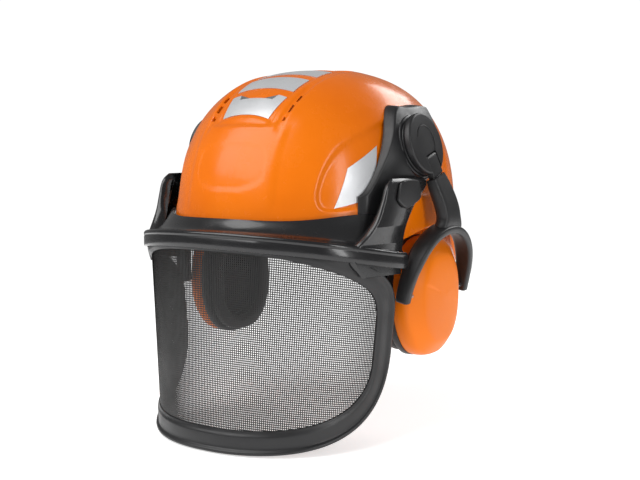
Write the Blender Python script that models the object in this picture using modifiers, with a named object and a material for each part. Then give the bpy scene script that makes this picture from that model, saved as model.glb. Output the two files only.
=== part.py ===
"""Forestry helmet in a child's size: shell, mesh visor on a brow guard, and folding ear muffs.

Frame: metres, +Z up, the face looks along -Y, +X is the wearer's left.
The origin is inside the head, at the middle of the plane where the brow guard meets the shell.
"""
import math

import bmesh
import bpy
from mathutils import Matrix, Vector

MM = 0.001
TOUCH = 0.3 * MM          # gap left between two pieces that touch
RUN = 0.5 * MM            # running clearance of a pin, a hinge or a slide
LEFT, RIGHT = 1, -1

# ---------------------------------------------------------------- shell
SHELL_HALF_WIDTH = 100 * MM
SHELL_FRONT = 117.5 * MM
SHELL_BACK = 121 * MM
SHELL_HEIGHT = 122 * MM
SHELL_WALL = 2.6 * MM
PLAN_POWER = 2.15         # 2 is an ellipse, more is squarer
DOME_POWER = 2.51
APEX_SHIFT = 10 * MM      # the crown sits behind the middle
SHELL_PITCH = math.radians(5.2)
SHOULDER = 12 * MM        # height at which the dome starts above the skirt
RIM_FRONT = -11 * MM      # rim heights are measured from the shell's own base plane
RIM_EAR = 6 * MM
RIM_NAPE = -23 * MM
EAR_ARCH_FRONT = -50 * MM
EAR_ARCH_TOP = 22 * MM
EAR_ARCH_BACK = 44 * MM
NAPE_START = 88 * MM
NAPE_FLARE = 8 * MM
VENT_X, VENT_FRONT = 32.2 * MM, -94 * MM     # first slot beside the crown films
VENT_SPREAD, VENT_PITCH = 0.75 * MM, 8.4 * MM
VENT_WIDTH, VENT_LENGTH = 2.6 * MM, 5.8 * MM
RECESS_DEPTH = 1.2 * MM
FILM = 0.5 * MM           # thickness of the reflective film

# ---------------------------------------------------------------- brow guard and visor
GUARD_HALF_WIDTH = SHELL_HALF_WIDTH + 8.5 * MM
GUARD_FRONT = 139 * MM
GUARD_BACK = 42 * MM
GUARD_POWER = 2.2
GUARD_SLOPE = -0.17       # rise of the guard's edge for each metre toward the back
GUARD_EDGE_HEIGHT = -19.3 * MM
GUARD_SKIRT = 10.5 * MM
GUARD_WALL = 2.4 * MM
GUARD_GAP = 2.0 * MM       # running gap between the guard's root and the shell
GUARD_STEPS = 28
GUARD_VALLEY = 3.5 * MM
ARM_OUTER_FACE = SHELL_HALF_WIDTH + 6 * MM
ARM_WALL = 3.6 * MM
PIVOT_Y, PIVOT_Z = -40 * MM, 30 * MM
PIVOT_RADIUS = 3 * MM
CAP_CORNER = 2 * MM
CAP_HEIGHT = 2.4 * MM
VISOR_HALF_WIDTH = GUARD_HALF_WIDTH - 5.5 * MM
VISOR_FRONT = 135 * MM
VISOR_BACK = 47.5 * MM
VISOR_TAPER = 0.10        # loss of half-width for each metre down
VISOR_REACH = 0.03        # gain of the front for each metre down
VISOR_DEPTH = 143 * MM
VISOR_SIDE_DEPTH = 92 * MM
VISOR_WALL = 3.0 * MM
FRAME_BAND = 17 * MM
FRAME_TOP_SHARE = 0.75    # the frame's upper member is narrower than the sides
VISOR_CORNER = 4.2
MESH_OVERLAP = 0.55       # how far the mesh reaches under the frame
MESH_THICKNESS = 0.8 * MM

# ---------------------------------------------------------------- ear muffs
DISC_FACE = Vector((SHELL_HALF_WIDTH + 5 * MM, -10 * MM, 64.5 * MM))
DISC_LEAN = math.radians(15)
ARM_RAKE = math.radians(17)
DISC_RADIUS = 23 * MM
DISC_THICKNESS = 5.7 * MM
BASE_RADIUS = DISC_RADIUS + 2.5 * MM
BASE_RING = DISC_RADIUS + 0.6 * MM
BASE_STEP = 10.2 * MM
BOLT_RADIUS = 4 * MM
HINGE_DROP = 10.7 * MM
HINGE_PIN_RADIUS = 1.3 * MM
BLOCK_WIDTH = 15 * MM
BLOCK_THICKNESS = 5.4 * MM
BLOCK_END = DISC_RADIUS + 2 * MM
BLADE_WIDTH = 12 * MM
BLADE_THICKNESS = 3.6 * MM
BLADE_LENGTH = 26 * MM
SLEEVE_WIDTH = 21 * MM
SLEEVE_THICKNESS = 10.5 * MM
SLEEVE_FLARE = 3 * MM
CUP_CENTRE = Vector((0, 3, -49)) * MM
CUP_HALF_LENGTH = 37 * MM
CUP_HALF_HEIGHT = 44 * MM
CUP_BACK = SHELL_HALF_WIDTH - 12 * MM
CUP_DEPTH = 25 * MM
CUP_WALL = 2 * MM
CUP_POWER = 2.5
CUP_PIVOT_X, CUP_PIVOT_Z = CUP_BACK + 16 * MM, -45 * MM
CUP_PIN_RADIUS = 2.2 * MM
FORK_GAP = 2.6 * MM
FORK_WIDTH = 7.5 * MM
FORK_THICKNESS = 9 * MM
CUSHION_DEPTH = 10 * MM
PLATE_THICKNESS = 2.2 * MM

# ---------------------------------------------------------------- side plates
PLATE_LIFT = 0.9 * MM
PLATE_WALL = 2.6 * MM

# ---------------------------------------------------------------- harness
BAND_HALF_WIDTH = SHELL_HALF_WIDTH - 23 * MM
BAND_FRONT = 94 * MM
BAND_BACK = 92 * MM
BAND_HEIGHT = 24 * MM
BAND_WALL = 1.8 * MM
BAND_BASE = 4 * MM
BAND_END = 40 * MM
STRAP_WIDTH = 18 * MM
STRAP_THICKNESS = 1.4 * MM
STRAP_CLEAR = 3.6 * MM
CROWN_HEIGHT = 92 * MM
CLIP_ANGLES = (math.radians(-52), math.radians(52))
CRADLE_DROP = 34 * MM
KNOB_RADIUS = 16 * MM
KNOB_DEPTH = 12 * MM
KNOB_RIBS = 12
KNOB_HUB = 9 * MM
CRADLE_WALL = 1.8 * MM
CRADLE_TIP = 12 * MM

PARTS = None
CUTTERS = None


# ================================================================ scene helpers
def start_scene():
    """Empty the scene and make the two collections."""
    global PARTS, CUTTERS
    for old in list(bpy.data.objects):
        bpy.data.objects.remove(old, do_unlink=True)
    PARTS = bpy.data.collections.new("forestry_helmet")
    CUTTERS = bpy.data.collections.new("cutters")
    bpy.context.scene.collection.children.link(PARTS)
    bpy.context.scene.collection.children.link(CUTTERS)


def material(name, colour, roughness, metallic=0.0):
    """A plain Principled material, made once for each name."""
    made = bpy.data.materials.get(name)
    if made is None:
        made = bpy.data.materials.new(name)
        made.use_nodes = True
        shader = made.node_tree.nodes["Principled BSDF"]
        shader.inputs["Base Color"].default_value = (*colour, 1.0)
        shader.inputs["Roughness"].default_value = roughness
        shader.inputs["Metallic"].default_value = metallic
    return made


def orange_plastic():
    return material("orange_plastic", (0.83, 0.19, 0.006), 0.22)


def black_gloss():
    return material("black_gloss_plastic", (0.02, 0.02, 0.022), 0.2)


def black_satin():
    return material("black_satin_plastic", (0.028, 0.029, 0.031), 0.42)


def grey_plastic():
    return material("grey_plastic", (0.09, 0.09, 0.095), 0.5)


def wire_mesh():
    return material("black_wire_mesh", (0.03, 0.03, 0.03), 0.45, 0.4)


def silver_film():
    return material("silver_film", (0.72, 0.73, 0.74), 0.3, 0.5)


def steel():
    return material("steel", (0.55, 0.55, 0.56), 0.35, 1.0)


def foam():
    return material("black_foam", (0.03, 0.03, 0.032), 0.85)


def webbing():
    return material("grey_webbing", (0.16, 0.16, 0.17), 0.8)


def object_from(bm, name, look=None, smooth=None):
    """Turn a bmesh into an object of the helmet, or into a cutter when it has no material."""
    mesh = bpy.data.meshes.new(name)
    bm.to_mesh(mesh)
    bm.free()
    made = bpy.data.objects.new(name, mesh)
    if look is None:
        CUTTERS.objects.link(made)
        made.hide_render = True
        made.display_type = "WIRE"
    else:
        PARTS.objects.link(made)
        mesh.materials.append(look)
    if smooth is not None:
        mesh.shade_smooth()
        mesh.set_sharp_from_angle(angle=math.radians(smooth))
    return made


def evaluated_mesh(made):
    """The object's mesh as its modifiers leave it."""
    graph = bpy.context.evaluated_depsgraph_get()
    graph.update()
    return bpy.data.meshes.new_from_object(made.evaluated_get(graph), depsgraph=graph)


def apply_modifiers(made):
    """Bake the modifiers and the object's place into its mesh."""
    bpy.context.view_layer.update()
    mesh = evaluated_mesh(made)
    mesh.transform(made.matrix_world)
    old = made.data
    made.modifiers.clear()
    made.data = mesh
    made.matrix_world = Matrix.Identity(4)
    mesh.name = made.name
    if isinstance(old, bpy.types.Mesh):
        bpy.data.meshes.remove(old)
    return made


def mesh_from_curve(made, name, look=None, smooth=None):
    """Replace a curve object by a welded mesh object at the same place."""
    bpy.context.view_layer.update()
    mesh = evaluated_mesh(made)
    bm = bmesh.new()
    bm.from_mesh(mesh)
    bmesh.ops.remove_doubles(bm, verts=bm.verts, dist=0.01 * MM)
    bmesh.ops.dissolve_degenerate(bm, dist=0.01 * MM, edges=bm.edges)
    bm.transform(made.matrix_world)
    bpy.data.meshes.remove(mesh)
    bpy.data.objects.remove(made, do_unlink=True)
    return object_from(bm, name, look, smooth)


def boolean(made, cutter, operation):
    step = made.modifiers.new(operation.lower(), "BOOLEAN")
    step.operation = operation
    step.solver = "EXACT"
    step.object = cutter


def cut(made, *cutters):
    for cutter in cutters:
        boolean(made, cutter, "DIFFERENCE")


def fuse(made, *others):
    """Union other meshes into an object and keep one body."""
    for other in others:
        boolean(made, other, "UNION")
    return apply_modifiers(made)


def solidify(made, thickness, offset):
    step = made.modifiers.new("wall", "SOLIDIFY")
    step.thickness = thickness
    step.offset = offset
    step.use_even_offset = True
    return made


def bevel(made, width, segments=1, angle=40):
    step = made.modifiers.new("edges", "BEVEL")
    step.width = width
    step.segments = segments
    step.limit_method = "ANGLE"
    step.angle_limit = math.radians(angle)
    step.harden_normals = False
    return made


def mirrored(made, name):
    """The same piece on the other side of the helmet."""
    bpy.context.view_layer.update()
    mesh = evaluated_mesh(made)
    mesh.transform(Matrix.Diagonal((-1, 1, 1, 1)) @ made.matrix_world)
    mesh.flip_normals()
    mesh.name = name
    twin = bpy.data.objects.new(name, mesh)
    PARTS.objects.link(twin)
    return twin


def pair(made, stem):
    """Name a left piece and make its right twin."""
    made.name = stem + "_left"
    made.data.name = made.name
    return made, mirrored(made, stem + "_right")


# ================================================================ shape helpers
def signed_power(value, power):
    return math.copysign(abs(value) ** power, value)


def oval(angle, half_x, half_y, power):
    """A point of a superellipse: power 2 is an ellipse, larger powers are squarer."""
    return (half_x * signed_power(math.cos(angle), 2 / power),
            half_y * signed_power(math.sin(angle), 2 / power))


def blend(low, high, share):
    return low + (high - low) * share


def smooth_step(value, start, end):
    share = min(max((value - start) / (end - start), 0.0), 1.0)
    return share * share * (3 - 2 * share)


def strip(bm, rows, closed=False):
    """Quads between rows of points; closed joins each row's ends."""
    made = [[bm.verts.new(point) for point in row] for row in rows]
    for low, high in zip(made, made[1:]):
        count = len(low)
        last = count if closed else count - 1
        for i in range(last):
            j = (i + 1) % count
            bm.faces.new((low[i], low[j], high[j], high[i]))
    return made


def turn_outward(bm, away_from):
    """Face every polygon of an open surface away from a point."""
    bm.normal_update()
    facing = sum(face.normal.dot(face.calc_center_median() - away_from) for face in bm.faces)
    if facing < 0:
        bmesh.ops.reverse_faces(bm, faces=bm.faces)


def surface(name, rows, look=None, closed=False, smooth=40, away_from=Vector((0, 0, 0))):
    """An open surface through rows of points, with its faces turned away from a point."""
    bm = bmesh.new()
    strip(bm, rows, closed)
    turn_outward(bm, away_from)
    return object_from(bm, name, look, smooth)


def loft(name, sections, look=None, smooth=40):
    """A closed body through rings of points, with flat ends."""
    bm = bmesh.new()
    rings = strip(bm, sections, closed=True)
    bm.faces.new(list(reversed(rings[0])))
    bm.faces.new(rings[-1])
    bmesh.ops.recalc_face_normals(bm, faces=bm.faces)
    return object_from(bm, name, look, smooth)


def box(name, size, centre, frame=Matrix.Identity(4), look=None):
    bm = bmesh.new()
    bmesh.ops.create_cube(bm, size=1.0)
    place = frame @ Matrix.Translation(centre) @ Matrix.Diagonal((*size, 1.0))
    bm.transform(place)
    return object_from(bm, name, look)


def rod(name, radius, start, end, look=None, sides=20, end_radius=None):
    """A cylinder, or a cone, between two points."""
    bm = bmesh.new()
    run = end - start
    tip = radius if end_radius is None else end_radius
    bmesh.ops.create_cone(bm, cap_ends=True, segments=sides, radius1=radius,
                          radius2=tip, depth=run.length)
    turn = run.to_track_quat("Z", "Y").to_matrix().to_4x4()
    bm.transform(Matrix.Translation((start + end) / 2) @ turn)
    return object_from(bm, name, look, 40 if look else None)


def turned(name, profile, frame, look=None, sides=24):
    """A profile of (radius, height) points, top to bottom, turned about the frame's Z axis."""
    bm = bmesh.new()
    points = [bm.verts.new((radius, 0, height)) for radius, height in profile]
    for first, second in zip(points, points[1:]):
        bm.edges.new((first, second))
    made = object_from(bm, name, look)
    spin = made.modifiers.new("turn", "SCREW")
    spin.axis = "Z"
    spin.steps = sides
    spin.render_steps = sides
    spin.use_merge_vertices = True
    spin.merge_threshold = 0.01 * MM
    made.matrix_world = frame
    apply_modifiers(made)
    made.data.shade_smooth()
    made.data.set_sharp_from_angle(angle=math.radians(40))
    return made


def plate(name, outline, thickness, frame, look=None, edge=0.0, holes=()):
    """A flat outline in the frame's XY plane, extruded by half its thickness each way."""
    data = bpy.data.curves.new(name, "CURVE")
    data.dimensions = "2D"
    data.fill_mode = "BOTH"
    data.extrude = thickness / 2 - edge
    data.bevel_depth = edge
    data.bevel_resolution = 0
    data.offset = -edge
    for loop in (outline, *holes):
        line = data.splines.new("POLY")
        line.points.add(len(loop) - 1)
        for point, (x, y) in zip(line.points, loop):
            point.co = (x, y, 0, 1)
        line.use_cyclic_u = True
    made = bpy.data.objects.new(name, data)
    PARTS.objects.link(made)
    made.matrix_world = frame
    return mesh_from_curve(made, name, look, 40 if look else None)


def frame_of(x_axis, y_axis, z_axis, origin):
    """A placement whose columns are three axes and an origin."""
    turn = Matrix((x_axis, y_axis, z_axis)).transposed().to_4x4()
    return Matrix.Translation(origin) @ turn


def side_frame(x):
    """A frame whose XY plane is the helmet's YZ plane at a given X."""
    return frame_of(Vector((0, 1, 0)), Vector((0, 0, 1)), Vector((1, 0, 0)), Vector((x, 0, 0)))


# ================================================================ shell surface
def pitched():
    """From the shell's own level frame to the helmet's frame: the front is tipped up."""
    return Matrix.Rotation(-SHELL_PITCH, 4, "X")


def rim_height(angle):
    """Height of the rim round the plan: level in front, raised over the ear, low at the nape."""
    y = math.sin(angle) * SHELL_BACK
    over_ear = blend(RIM_FRONT, RIM_EAR, smooth_step(y, EAR_ARCH_FRONT, EAR_ARCH_TOP))
    return blend(over_ear, RIM_NAPE, smooth_step(y, EAR_ARCH_BACK, NAPE_START))


def dome_point(angle, rise, lift=0.0):
    """A point of the dome in the shell's level frame; rise 0 is the base plane, 90 degrees the crown."""
    spread = signed_power(math.cos(rise), 2 / DOME_POWER)
    height = signed_power(math.sin(rise), 2 / DOME_POWER)
    length = SHELL_BACK if math.sin(angle) > 0 else SHELL_FRONT
    x, y = oval(angle, SHELL_HALF_WIDTH + lift, length + lift, PLAN_POWER)
    shift = APEX_SHIFT * (1 - spread * spread)
    return Vector((x * spread, y * spread + shift, (SHELL_HEIGHT + lift) * height))


def rise_at(height):
    """The rise at which the dome has a given height above the base plane."""
    return math.asin((max(height, 0.0) / SHELL_HEIGHT) ** (DOME_POWER / 2))


def skirt_point(angle, share, lift=0.0):
    """A point of the skirt: share 0 is the shoulder, 1 the rim, flared at the nape."""
    height = blend(SHOULDER, rim_height(angle), share)
    flare = NAPE_FLARE * (min(height, 0.0) / RIM_NAPE) ** 2
    spot = dome_point(angle, rise_at(height), lift + flare)
    return Vector((spot.x, spot.y, height))


def dome_rows(segments, rises, skirt_rows, lift):
    """Rings of points from the rim to just under the crown."""
    turns = [math.tau * i / segments for i in range(segments)]
    rows = []
    for k in range(skirt_rows, 0, -1):
        rows.append([skirt_point(turn, k / skirt_rows, lift) for turn in turns])
    start = rise_at(SHOULDER)
    for k in range(rises):
        rise = blend(start, math.pi / 2, k / rises)
        rows.append([dome_point(turn, rise, lift) for turn in turns])
    return rows


def dome(name, lift, look=None, capped=False, segments=48, rises=11, skirt_rows=3):
    """The shell's outer surface as a mesh, open at the rim unless it is capped."""
    bm = bmesh.new()
    rings = strip(bm, dome_rows(segments, rises, skirt_rows, lift), closed=True)
    crown = bm.verts.new(dome_point(0.0, math.radians(90), lift))
    last = rings[-1]
    for i, vert in enumerate(last):
        bm.faces.new((vert, last[(i + 1) % len(last)], crown))
    if capped:
        foot = bm.verts.new((0, 0, RIM_NAPE / 2))
        first = rings[0]
        for i, vert in enumerate(first):
            bm.faces.new((first[(i + 1) % len(first)], vert, foot))
    turn_outward(bm, Vector((0, 0, 30 * MM)))
    bm.transform(pitched())
    return object_from(bm, name, look, 30 if look else None)


def on_side(y, z, lift=0.0):
    """The shell's left surface at a given y and z of its level frame."""
    height = min(max(z, 0.0) / (SHELL_HEIGHT + lift), 1.0)
    spread = (1 - height ** DOME_POWER) ** (1 / DOME_POWER)
    own_y = y - APEX_SHIFT * (1 - spread * spread)
    length = (SHELL_BACK if own_y > 0 else SHELL_FRONT) + lift
    rest = max(spread ** PLAN_POWER - (abs(own_y) / length) ** PLAN_POWER, 0.0)
    return Vector(((SHELL_HALF_WIDTH + lift) * rest ** (1 / PLAN_POWER), y, z))


def on_top(x, y, lift=0.0):
    """The shell's upper surface at a given x and y of its level frame."""
    spread = 0.5
    for _ in range(30):
        own_y = y - APEX_SHIFT * (1 - spread * spread)
        length = (SHELL_BACK if own_y > 0 else SHELL_FRONT) + lift
        reach = (abs(x) / (SHELL_HALF_WIDTH + lift)) ** PLAN_POWER + (abs(own_y) / length) ** PLAN_POWER
        spread = min(reach ** (1 / PLAN_POWER), 1.0)
    height = (1 - spread ** DOME_POWER) ** (1 / DOME_POWER)
    return Vector((x, y, (SHELL_HEIGHT + lift) * height))


def patch(name, place, columns, lift, thickness, look=None, rows=3):
    """A sheet that hugs the shell: columns of (low, high) points, laid on it by place()."""
    grid = []
    for k in range(rows + 1):
        share = k / rows
        grid.append([place(*(Vector(low).lerp(Vector(high), share)), lift) for low, high in columns])
    made = surface(name, grid, look, smooth=30, away_from=Vector((0, 0, 20 * MM)))
    made.data.transform(pitched())
    return solidify(made, thickness, 1)


# ================================================================ shell and what is on it
def side_panel_columns(grow=0.0):
    """The side film's outline in y and z: a swept quadrilateral that leans back."""
    corners = [Vector(point) * MM for point in ((-83, 12.5), (-73, 43), (-50, 58), (-61, 20))]
    middle = sum(corners, Vector((0, 0))) / 4
    low_a, high_a, high_b, low_b = [point + (point - middle).normalized() * grow for point in corners]
    steps = 4
    return [(low_a.lerp(low_b, i / steps), high_a.lerp(high_b, i / steps)) for i in range(steps + 1)]


def crown_panel_columns(front, back, front_half, back_half, grow=0.0):
    """A film on the crown, as wide as given at its front and its back edge."""
    steps = 6
    columns = []
    for i in range(steps + 1):
        share = 2 * i / steps - 1
        columns.append((Vector((share * (front_half + grow), front - grow)),
                        Vector((share * (back_half + grow), back + grow))))
    return columns


CROWN_PANELS = {
    "front": (-98 * MM, -82 * MM, 21 * MM, 25 * MM),
    "middle": (-76 * MM, -58 * MM, 26 * MM, 27 * MM),
    "rear": (-50 * MM, -28 * MM, 28 * MM, 26 * MM),
}


def outer_shell():
    shell = dome("outer_shell", 0.0, orange_plastic())
    solidify(shell, SHELL_WALL, -1)
    apply_modifiers(shell)
    margin = 1.2 * MM
    pockets = [patch("side_pocket", on_side, side_panel_columns(margin), -RECESS_DEPTH, 6 * MM)]
    apply_modifiers(pockets[0])
    pockets.append(mirrored(pockets[0], "side_pocket_right"))
    CUTTERS.objects.link(pockets[1])
    PARTS.objects.unlink(pockets[1])
    pockets[1].hide_render = True
    pockets[1].display_type = "WIRE"
    for place, sizes in CROWN_PANELS.items():
        columns = crown_panel_columns(*sizes, grow=margin)
        pockets.append(patch("crown_pocket_" + place, on_top, columns, -RECESS_DEPTH, 6 * MM))
    cut(shell, *pockets)
    cut(shell, *vent_slots(), *shell_bores())
    return apply_modifiers(shell)


def vent_slots():
    """Three slots on each side of the crown, cut straight down."""
    slots = []
    for side in (LEFT, RIGHT):
        for i in range(3):
            x = side * (VENT_X + VENT_SPREAD * i)
            y = VENT_FRONT + VENT_PITCH * i
            slots.append(box("vent_slot", (VENT_WIDTH, VENT_LENGTH, 60 * MM), Vector((x, y, 90 * MM)), pitched()))
    return slots


def shell_bores():
    """Holes for the visor's pivot pins and the muff bolts."""
    bores = []
    for side in (LEFT, RIGHT):
        flip = Matrix.Diagonal((side, 1, 1, 1))
        pivot = Vector((0, PIVOT_Y, PIVOT_Z))
        across = Vector((side, 0, 0))
        bores.append(rod("pin_bore", PIVOT_RADIUS + RUN, pivot + across * 60 * MM, pivot + across * 120 * MM))
        start = flip @ disc_point(0, 0, -45 * MM)
        end = flip @ disc_point(0, 0, 5 * MM)
        bores.append(rod("bolt_bore", BOLT_RADIUS + RUN, start, end))
    return bores


def reflective_films():
    """Silver films that lie in the shell's shallow pockets."""
    lift = TOUCH - RECESS_DEPTH
    side = patch("side_film", on_side, side_panel_columns(), lift, FILM, silver_film())
    apply_modifiers(side)
    pair(side, "side_film")
    for place, sizes in CROWN_PANELS.items():
        film = patch("crown_film_" + place, on_top, crown_panel_columns(*sizes), lift, FILM, silver_film())
        apply_modifiers(film)


def side_plate_columns():
    """The black side plate's outline: a broad head behind the pivot disc, a leg down to the guard."""
    columns = []
    steps = 10
    for i in range(steps + 1):
        y = blend(-69, 26, i / steps)
        top = blend(20, 88, smooth_step(y, -75, -18))
        top += blend(0, 6, smooth_step(y, -20, 12))
        top -= blend(0, 13, smooth_step(y, 14, 30))
        low = blend(5, 38, smooth_step(y, -58, -14))
        columns.append((Vector((y, low)) * MM, Vector((y, top)) * MM))
    return columns


def side_plates():
    made = patch("side_plate", on_side, side_plate_columns(), PLATE_LIFT, PLATE_WALL, black_satin(), rows=4)
    cut(made, *shell_bores()[:2])
    apply_modifiers(made)
    return pair(made, "side_plate")


# ================================================================ brow guard and visor
def guard_edge(angle, drop=0.0, inset=0.0):
    """The guard's outer edge round the plan; the angle runs from -180 to 0 degrees."""
    length = GUARD_FRONT - GUARD_BACK
    x, y = oval(angle, GUARD_HALF_WIDTH - inset, length - inset, GUARD_POWER)
    y -= GUARD_BACK
    slope = GUARD_SLOPE * (-GUARD_BACK + length * math.sin(angle))
    return Vector((x, y, GUARD_EDGE_HEIGHT + slope - drop))


def guard_root(angle):
    """Where the guard meets the shell, with a running gap."""
    start = math.radians(21)
    turn = blend(-math.pi + start, -start, (angle + math.pi) / math.pi)
    return pitched() @ dome_point(turn, 0.0, GUARD_GAP)


def guard_angles(steps):
    return [-math.pi + math.pi * i / steps for i in range(steps + 1)]


def guard_section(angle):
    """A closed section of the peak: root, shallow valley, rounded edge, skirt and underside."""
    def valley(share, sink):
        rim = guard_edge(angle, inset=1.2 * MM)
        return guard_root(angle).lerp(rim, share) - Vector((0, 0, sink))

    wall = Vector((0, 0, GUARD_WALL))
    return [valley(0.0, 0.0), valley(0.35, 0.8 * GUARD_VALLEY), valley(0.7, GUARD_VALLEY),
            guard_edge(angle, inset=1.2 * MM), guard_edge(angle, drop=1.4 * MM),
            guard_edge(angle, drop=GUARD_SKIRT), guard_edge(angle, drop=GUARD_SKIRT, inset=GUARD_WALL),
            guard_edge(angle, drop=3 * MM + GUARD_WALL, inset=GUARD_WALL + 1 * MM),
            valley(0.7, GUARD_VALLEY) - wall, valley(0.35, 0.8 * GUARD_VALLEY) - wall, valley(0.0, 0.0) - wall]


def guard_sweep():
    """The peak, lofted round the front from ear to ear."""
    sections = [guard_section(angle) for angle in guard_angles(GUARD_STEPS)]
    return loft("brow_guard", sections, black_gloss())


def arm_outline():
    """The guard's upright arm in y and z: a fin that broadens toward the top."""
    points = [(-90, -16), (-86, -5), (-77, 2), (-71.5, 12), (-68, 24), (-65, 35), (-60, 39.5),
              (-32, 40.5), (-20, 39), (-11, 36.5), (-10, 34.5), (-16, 30), (-26, 23), (-35, 13),
              (-42, 2), (-46, -12), (-47, -24)]
    return [(y * MM, z * MM) for y, z in points]


def guard_arm():
    middle = ARM_OUTER_FACE - ARM_WALL / 2
    return plate("guard_arm", arm_outline(), ARM_WALL, side_frame(middle), edge=0.6 * MM)


def pivot_boss():
    """A boss between the arm and the side plate, round the pivot pin."""
    start = Vector((ARM_OUTER_FACE - ARM_WALL - 1.6 * MM, PIVOT_Y, PIVOT_Z))
    end = Vector((ARM_OUTER_FACE - 1 * MM, PIVOT_Y, PIVOT_Z))
    return rod("pivot_boss", 8 * MM, start, end)


def as_cutter(made):
    """Move a mirrored twin out of the helmet and into the cutters."""
    for home in list(made.users_collection):
        home.objects.unlink(made)
    CUTTERS.objects.link(made)
    made.hide_render = True
    made.display_type = "WIRE"
    return made


def brow_guard():
    guard = guard_sweep()
    arm = guard_arm()
    boss = pivot_boss()
    bore = shell_bores()[0]
    twins = [as_cutter(mirrored(part, part.name + "_right")) for part in (arm, boss, bore)]
    fuse(guard, arm, twins[0], boss, twins[1])
    cut(guard, bore, twins[2])
    apply_modifiers(guard)
    guard.data.shade_smooth()
    guard.data.set_sharp_from_angle(angle=math.radians(35))
    return guard


def cap_outline():
    """The cap over the pivot: a flattened pentagon, point down, with its corners rounded off."""
    corners = [Vector(spot) * MM for spot in ((-10, 8), (14, 8), (17, -4), (-3, -11), (-15, -5))]
    points = []
    for i, corner in enumerate(corners):
        for other in (corners[i - 1], corners[(i + 1) % len(corners)]):
            points.append(tuple(corner + (other - corner).normalized() * CAP_CORNER))
    return points


def visor_pivots():
    """Pin through the shell, the side plate and the guard's arm, and a five-sided cap outside."""
    pivot = Vector((0, PIVOT_Y, PIVOT_Z))
    end = pivot + Vector((ARM_OUTER_FACE - 0.3 * MM, 0, 0))
    neck = pivot + Vector((ARM_OUTER_FACE - 19.5 * MM, 0, 0))
    head = pivot + Vector((ARM_OUTER_FACE - 22 * MM, 0, 0))
    pin = rod("visor_pivot_pin", PIVOT_RADIUS, head, end, steel(), sides=16)
    collar = rod("pin_head", 6 * MM, head, neck, sides=16)
    fuse(pin, collar)
    pair(pin, "visor_pivot_pin")
    frame = side_frame(ARM_OUTER_FACE + TOUCH + CAP_HEIGHT / 2)
    frame.translation += Vector((0, PIVOT_Y, PIVOT_Z))
    cap = plate("visor_pivot_cap", cap_outline(), CAP_HEIGHT, frame, black_satin(), edge=0.6 * MM)
    return pair(cap, "visor_pivot_cap")


def visor_point(angle, depth, inset=0.0):
    """A point of the visor's curved sheet: angle round the plan, depth under the guard."""
    half = VISOR_HALF_WIDTH - VISOR_TAPER * depth - inset
    front = VISOR_FRONT + VISOR_REACH * depth - inset
    x, y = oval(angle, half, front - VISOR_BACK, GUARD_POWER)
    hang = guard_edge(angle, drop=GUARD_SKIRT + TOUCH * 2)
    return Vector((x, y - VISOR_BACK, hang.z - depth))


def visor_bottom(angle):
    """Depth of the lower edge: deepest in front, rising in an arc toward the ears."""
    turn = abs(angle / (math.pi / 2) + 1)
    return blend(VISOR_SIDE_DEPTH, VISOR_DEPTH, math.sqrt(max(1 - turn * turn, 0.0)))


def evenly(loop, count):
    """The same closed outline with its points at even steps along it."""
    lengths = [0.0]
    for (a, b), (c, d) in zip(loop, loop[1:] + loop[:1]):
        lengths.append(lengths[-1] + math.hypot((c - a) * VISOR_HALF_WIDTH, d - b))
    even = []
    k = 0
    for i in range(count):
        target = lengths[-1] * i / count
        while lengths[k + 1] < target:
            k += 1
        share = (target - lengths[k]) / (lengths[k + 1] - lengths[k])
        (a, b), (c, d) = loop[k], loop[(k + 1) % len(loop)]
        even.append((blend(a, c, share), blend(b, d, share)))
    return even


def visor_span(band):
    """Half the angle that the visor covers, after a band is taken off each side."""
    return math.pi / 2 - band / VISOR_HALF_WIDTH


def visor_height(angle, band, share):
    """Depth between the upper (share 0) and the lower (share 1) edge, inside a band."""
    return blend(band * FRAME_TOP_SHARE, visor_bottom(angle) - band, share)


def visor_loop(band, count=46):
    """The visor's outline moved inward by a band: a rounded rectangle of (angle, depth) points."""
    loop = []
    for i in range(360):
        x, y = oval(math.tau * i / 360, 1, 1, VISOR_CORNER)
        angle = -math.pi / 2 + visor_span(band) * x
        loop.append((angle, visor_height(angle, band, (1 - y) / 2)))
    return evenly(loop, count)


def visor_frame():
    rows = []
    for band in (0.0, FRAME_BAND * 0.5, FRAME_BAND):
        rows.append([visor_point(angle, depth) for angle, depth in visor_loop(band)])
    made = surface("visor_frame", rows, black_gloss(), closed=True, away_from=Vector((0, -40, -80)) * MM)
    solidify(made, VISOR_WALL, -1)
    return apply_modifiers(made)


def visor_mesh():
    """One thin curved sheet that stands for the woven wire, set just behind the frame."""
    inset = VISOR_WALL + 3 * TOUCH
    band = FRAME_BAND * MESH_OVERLAP
    columns, steps = 24, 4
    rows = []
    for k in range(steps + 1):
        row = []
        for i in range(columns + 1):
            x = 0.97 * math.sin(math.pi * (i / columns - 0.5))
            y = (1 - abs(x) ** VISOR_CORNER) ** (1 / VISOR_CORNER)
            angle = -math.pi / 2 + visor_span(band) * x
            depth = visor_height(angle, band, (1 + y * (2 * k / steps - 1)) / 2)
            row.append(visor_point(angle, depth, inset))
        rows.append(row)
    made = surface("visor_mesh", rows, wire_mesh(), smooth=30, away_from=Vector((0, -40, -80)) * MM)
    solidify(made, MESH_THICKNESS, -1)
    return apply_modifiers(made)


# ================================================================ ear muffs
def disc_axes():
    """Outward axis of the muff's pivot disc, the arm's run, and the hinge line across it."""
    outward = Vector((math.cos(DISC_LEAN), 0, math.sin(DISC_LEAN)))
    down = Vector((math.sin(DISC_LEAN), 0, -math.cos(DISC_LEAN)))
    back = Vector((0, 1, 0))
    run = down * math.cos(ARM_RAKE) + back * math.sin(ARM_RAKE)
    across = back * math.cos(ARM_RAKE) - down * math.sin(ARM_RAKE)
    return outward, run, across


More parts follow.
